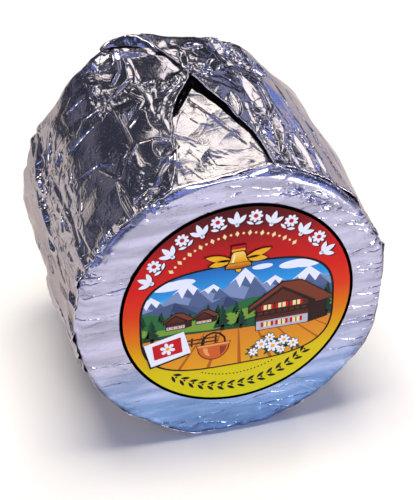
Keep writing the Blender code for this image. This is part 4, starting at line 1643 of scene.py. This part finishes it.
class CheeseFoilSides(bpy.types.Operator):
    """Wrap the drum's side: the left end, the layer under both ends, and the right end on top"""
    bl_idname = "cheese.foil_sides"
    bl_label = "Foil round the side"

    def execute(self, context):
        settings = context.scene.cheese_foil
        colours = (settings.bright_colour, settings.worn_colour)
        long_wrinkles = (1.0, 0.7, 1.0)
        # The bright side of the foil: clear small mirrors
        bright = foil_material("bright_rolled_foil", colours, settings.bright_roughness,
                               crush=0.022, stretch=long_wrinkles, wrinkle=0.07 * MM)
        # The same side rubbed by hands: its mirrors are a little blurred
        handled = foil_material("handled_rolled_foil", colours, settings.handled_roughness,
                                crush=0.022, stretch=long_wrinkles, wrinkle=0.07 * MM)
        # The matt side of the foil: warm soft glints with few wrinkles
        matt = foil_material("matt_side_of_rolled_foil", (settings.inner_colour, settings.worn_colour),
                             settings.inner_roughness, crush=0.04, stretch=(1.0, 1.4, 1.0),
                             wrinkle=0.025 * MM)
        foil_piece("foil_left_end", LEFT_COLUMNS[-1], SIDE_ROWS, left_rule, handled)
        foil_piece("foil_ear", EAR_COLUMNS, EAR_ROWS, ear_rule, handled)
        foil_piece("foil_inner_layer", INNER_COLUMNS, SIDE_ROWS, inner_rule, matt)
        foil_piece("foil_right_end", RIGHT_COLUMNS[-1], SIDE_ROWS, right_rule, bright)
        return {'FINISHED'}


class CheeseFoilBack(bpy.types.Operator):
    """Gather the foil in pleats on the back"""
    bl_idname = "cheese.foil_back"
    bl_label = "Gathered back"

    def execute(self, context):
        settings = context.scene.cheese_foil
        # Foil crushed together by hand: strongly tilted cells that glitter
        gathered = foil_material("gathered_foil", (settings.bright_colour, settings.worn_colour),
                                 settings.bright_roughness, crush=0.3, stretch=(1.0, 1.0, 1.0),
                                 wrinkle=0.1 * MM)
        foil_piece("foil_back", BACK_COLUMNS, BACK_ROWS, back_rule, gathered, flip=True)
        return {'FINISHED'}


class CheeseFoilFace(bpy.types.Operator):
    """Lay the satin foil of the front ring and its rounded rim"""
    bl_idname = "cheese.foil_face"
    bl_label = "Front ring"

    def execute(self, context):
        settings = context.scene.cheese_foil
        # Satin foil: a broad sheen, with a painted cool reflection graded from these heights in mm up the
        # face, blue at the foot
        satin = foil_material("satin_rolled_foil", (settings.painted_reflection_low_colour, settings.cool_colour),
                              settings.satin_roughness, crush=0.3, stretch=(0.3, 1.0, 1.4),
                              wrinkle=0.22 * MM, painted_reflection_heights=(12, 40))
        foil_piece("foil_face", FACE_COLUMNS, FACE_ROWS, face_rule, satin)
        return {'FINISHED'}


class CheeseLabel(bpy.types.Operator):
    """Print the round label with its garland, picture, card and sprig"""
    bl_idname = "cheese.label"
    bl_label = "Printed label"

    def execute(self, context):
        bm = bmesh.new()
        colour = bm.loops.layers.float_color.new("ink")
        bmesh.ops.create_cone(bm, cap_ends=True, segments=RIM_SIDES, radius1=LABEL_RADIUS,
                              radius2=LABEL_RADIUS, depth=LABEL_HIGH.y - LABEL_LOW.y)
        for vertex in bm.verts:
            across, up, out = vertex.co
            vertex.co = (LABEL_X + across, (LABEL_LOW.y + LABEL_HIGH.y) / 2 - out, LABEL_Z + up)
        for face in bm.faces:
            for loop in face.loops:
                loop[colour] = ink_at(BLACK, 0)
        print_ground(bm)
        print_garland(bm)
        print_lower_wreath(bm)
        print_picture(bm)
        print_card(bm, 30)
        print_bell(bm, 29)
        bmesh.ops.scale(bm, vec=(MM, MM, MM), verts=bm.verts)
        bmesh.ops.recalc_face_normals(bm, faces=bm.faces)
        finish_piece(object_from(bm, "printed_label"), printed_paper(), "label")
        return {'FINISHED'}


class CheeseStage(bpy.types.Operator):
    """Set up the pale floor, the soft lights, the room and the camera"""
    bl_idname = "cheese.stage"
    bl_label = "Floor, lights and camera"

    def execute(self, context):
        settings = context.scene.cheese_stage
        bm = bmesh.new()
        bmesh.ops.create_grid(bm, x_segments=1, y_segments=1, size=FLOOR_HALF)
        bmesh.ops.translate(bm, verts=bm.verts, vec=(0, 0, -FLOOR_SINK))
        # Matt paint: an even pale floor that mirrors nothing
        material, tree, shader = new_material("matt_painted_floor")
        feed(tree, shader, {"Base Color": (*settings.floor_colour, 1), "Roughness": FLOOR_ROUGHNESS})
        floor = object_from(bm, "floor")
        floor.data.materials.append(material)
        for name, azimuth, elevation, distance, width, height, power, colour in LIGHTS:
            light_panel(name, azimuth, elevation, distance, width, height,
                        power * settings.light_scale, colour)
        build_world(settings)
        build_camera()
        context.scene.view_settings.view_transform = 'Standard'
        return {'FINISHED'}


class CheesePanel(bpy.types.Panel):
    """Sizes, colours and build steps of the foil-wrapped cheese drum"""
    bl_idname = "VIEW3D_PT_cheese"
    bl_label = "Foil-wrapped cheese"
    bl_space_type = 'VIEW_3D'
    bl_region_type = 'UI'
    bl_category = "Cheese"

    def draw(self, context):
        layout = self.layout
        for settings in (context.scene.cheese_foil, context.scene.cheese_stage):
            for name in settings.__annotations__:
                layout.prop(settings, name)
        for step in STEPS:
            layout.operator(step.bl_idname)


STEPS = (CheeseFoilSides, CheeseFoilBack, CheeseFoilFace, CheeseLabel, CheeseStage)
CLASSES = (CheeseFoilSettings, CheeseStageSettings, *STEPS, CheesePanel)


def register():
    """Register the classes and hang the settings on the scene."""
    for item in CLASSES:
        bpy.utils.register_class(item)
    bpy.types.Scene.cheese_foil = bpy.props.PointerProperty(type=CheeseFoilSettings)
    bpy.types.Scene.cheese_stage = bpy.props.PointerProperty(type=CheeseStageSettings)


def unregister():
    """Take the settings and the classes off again."""
    del bpy.types.Scene.cheese_stage
    del bpy.types.Scene.cheese_foil
    for item in reversed(CLASSES):
        bpy.utils.unregister_class(item)


def main():
    """Build the pieces and the stage."""
    register()
    bpy.ops.cheese.foil_sides()
    bpy.ops.cheese.foil_back()
    bpy.ops.cheese.foil_face()
    bpy.ops.cheese.label()
    bpy.ops.cheese.stage()


if __name__ == "__main__":
    main()
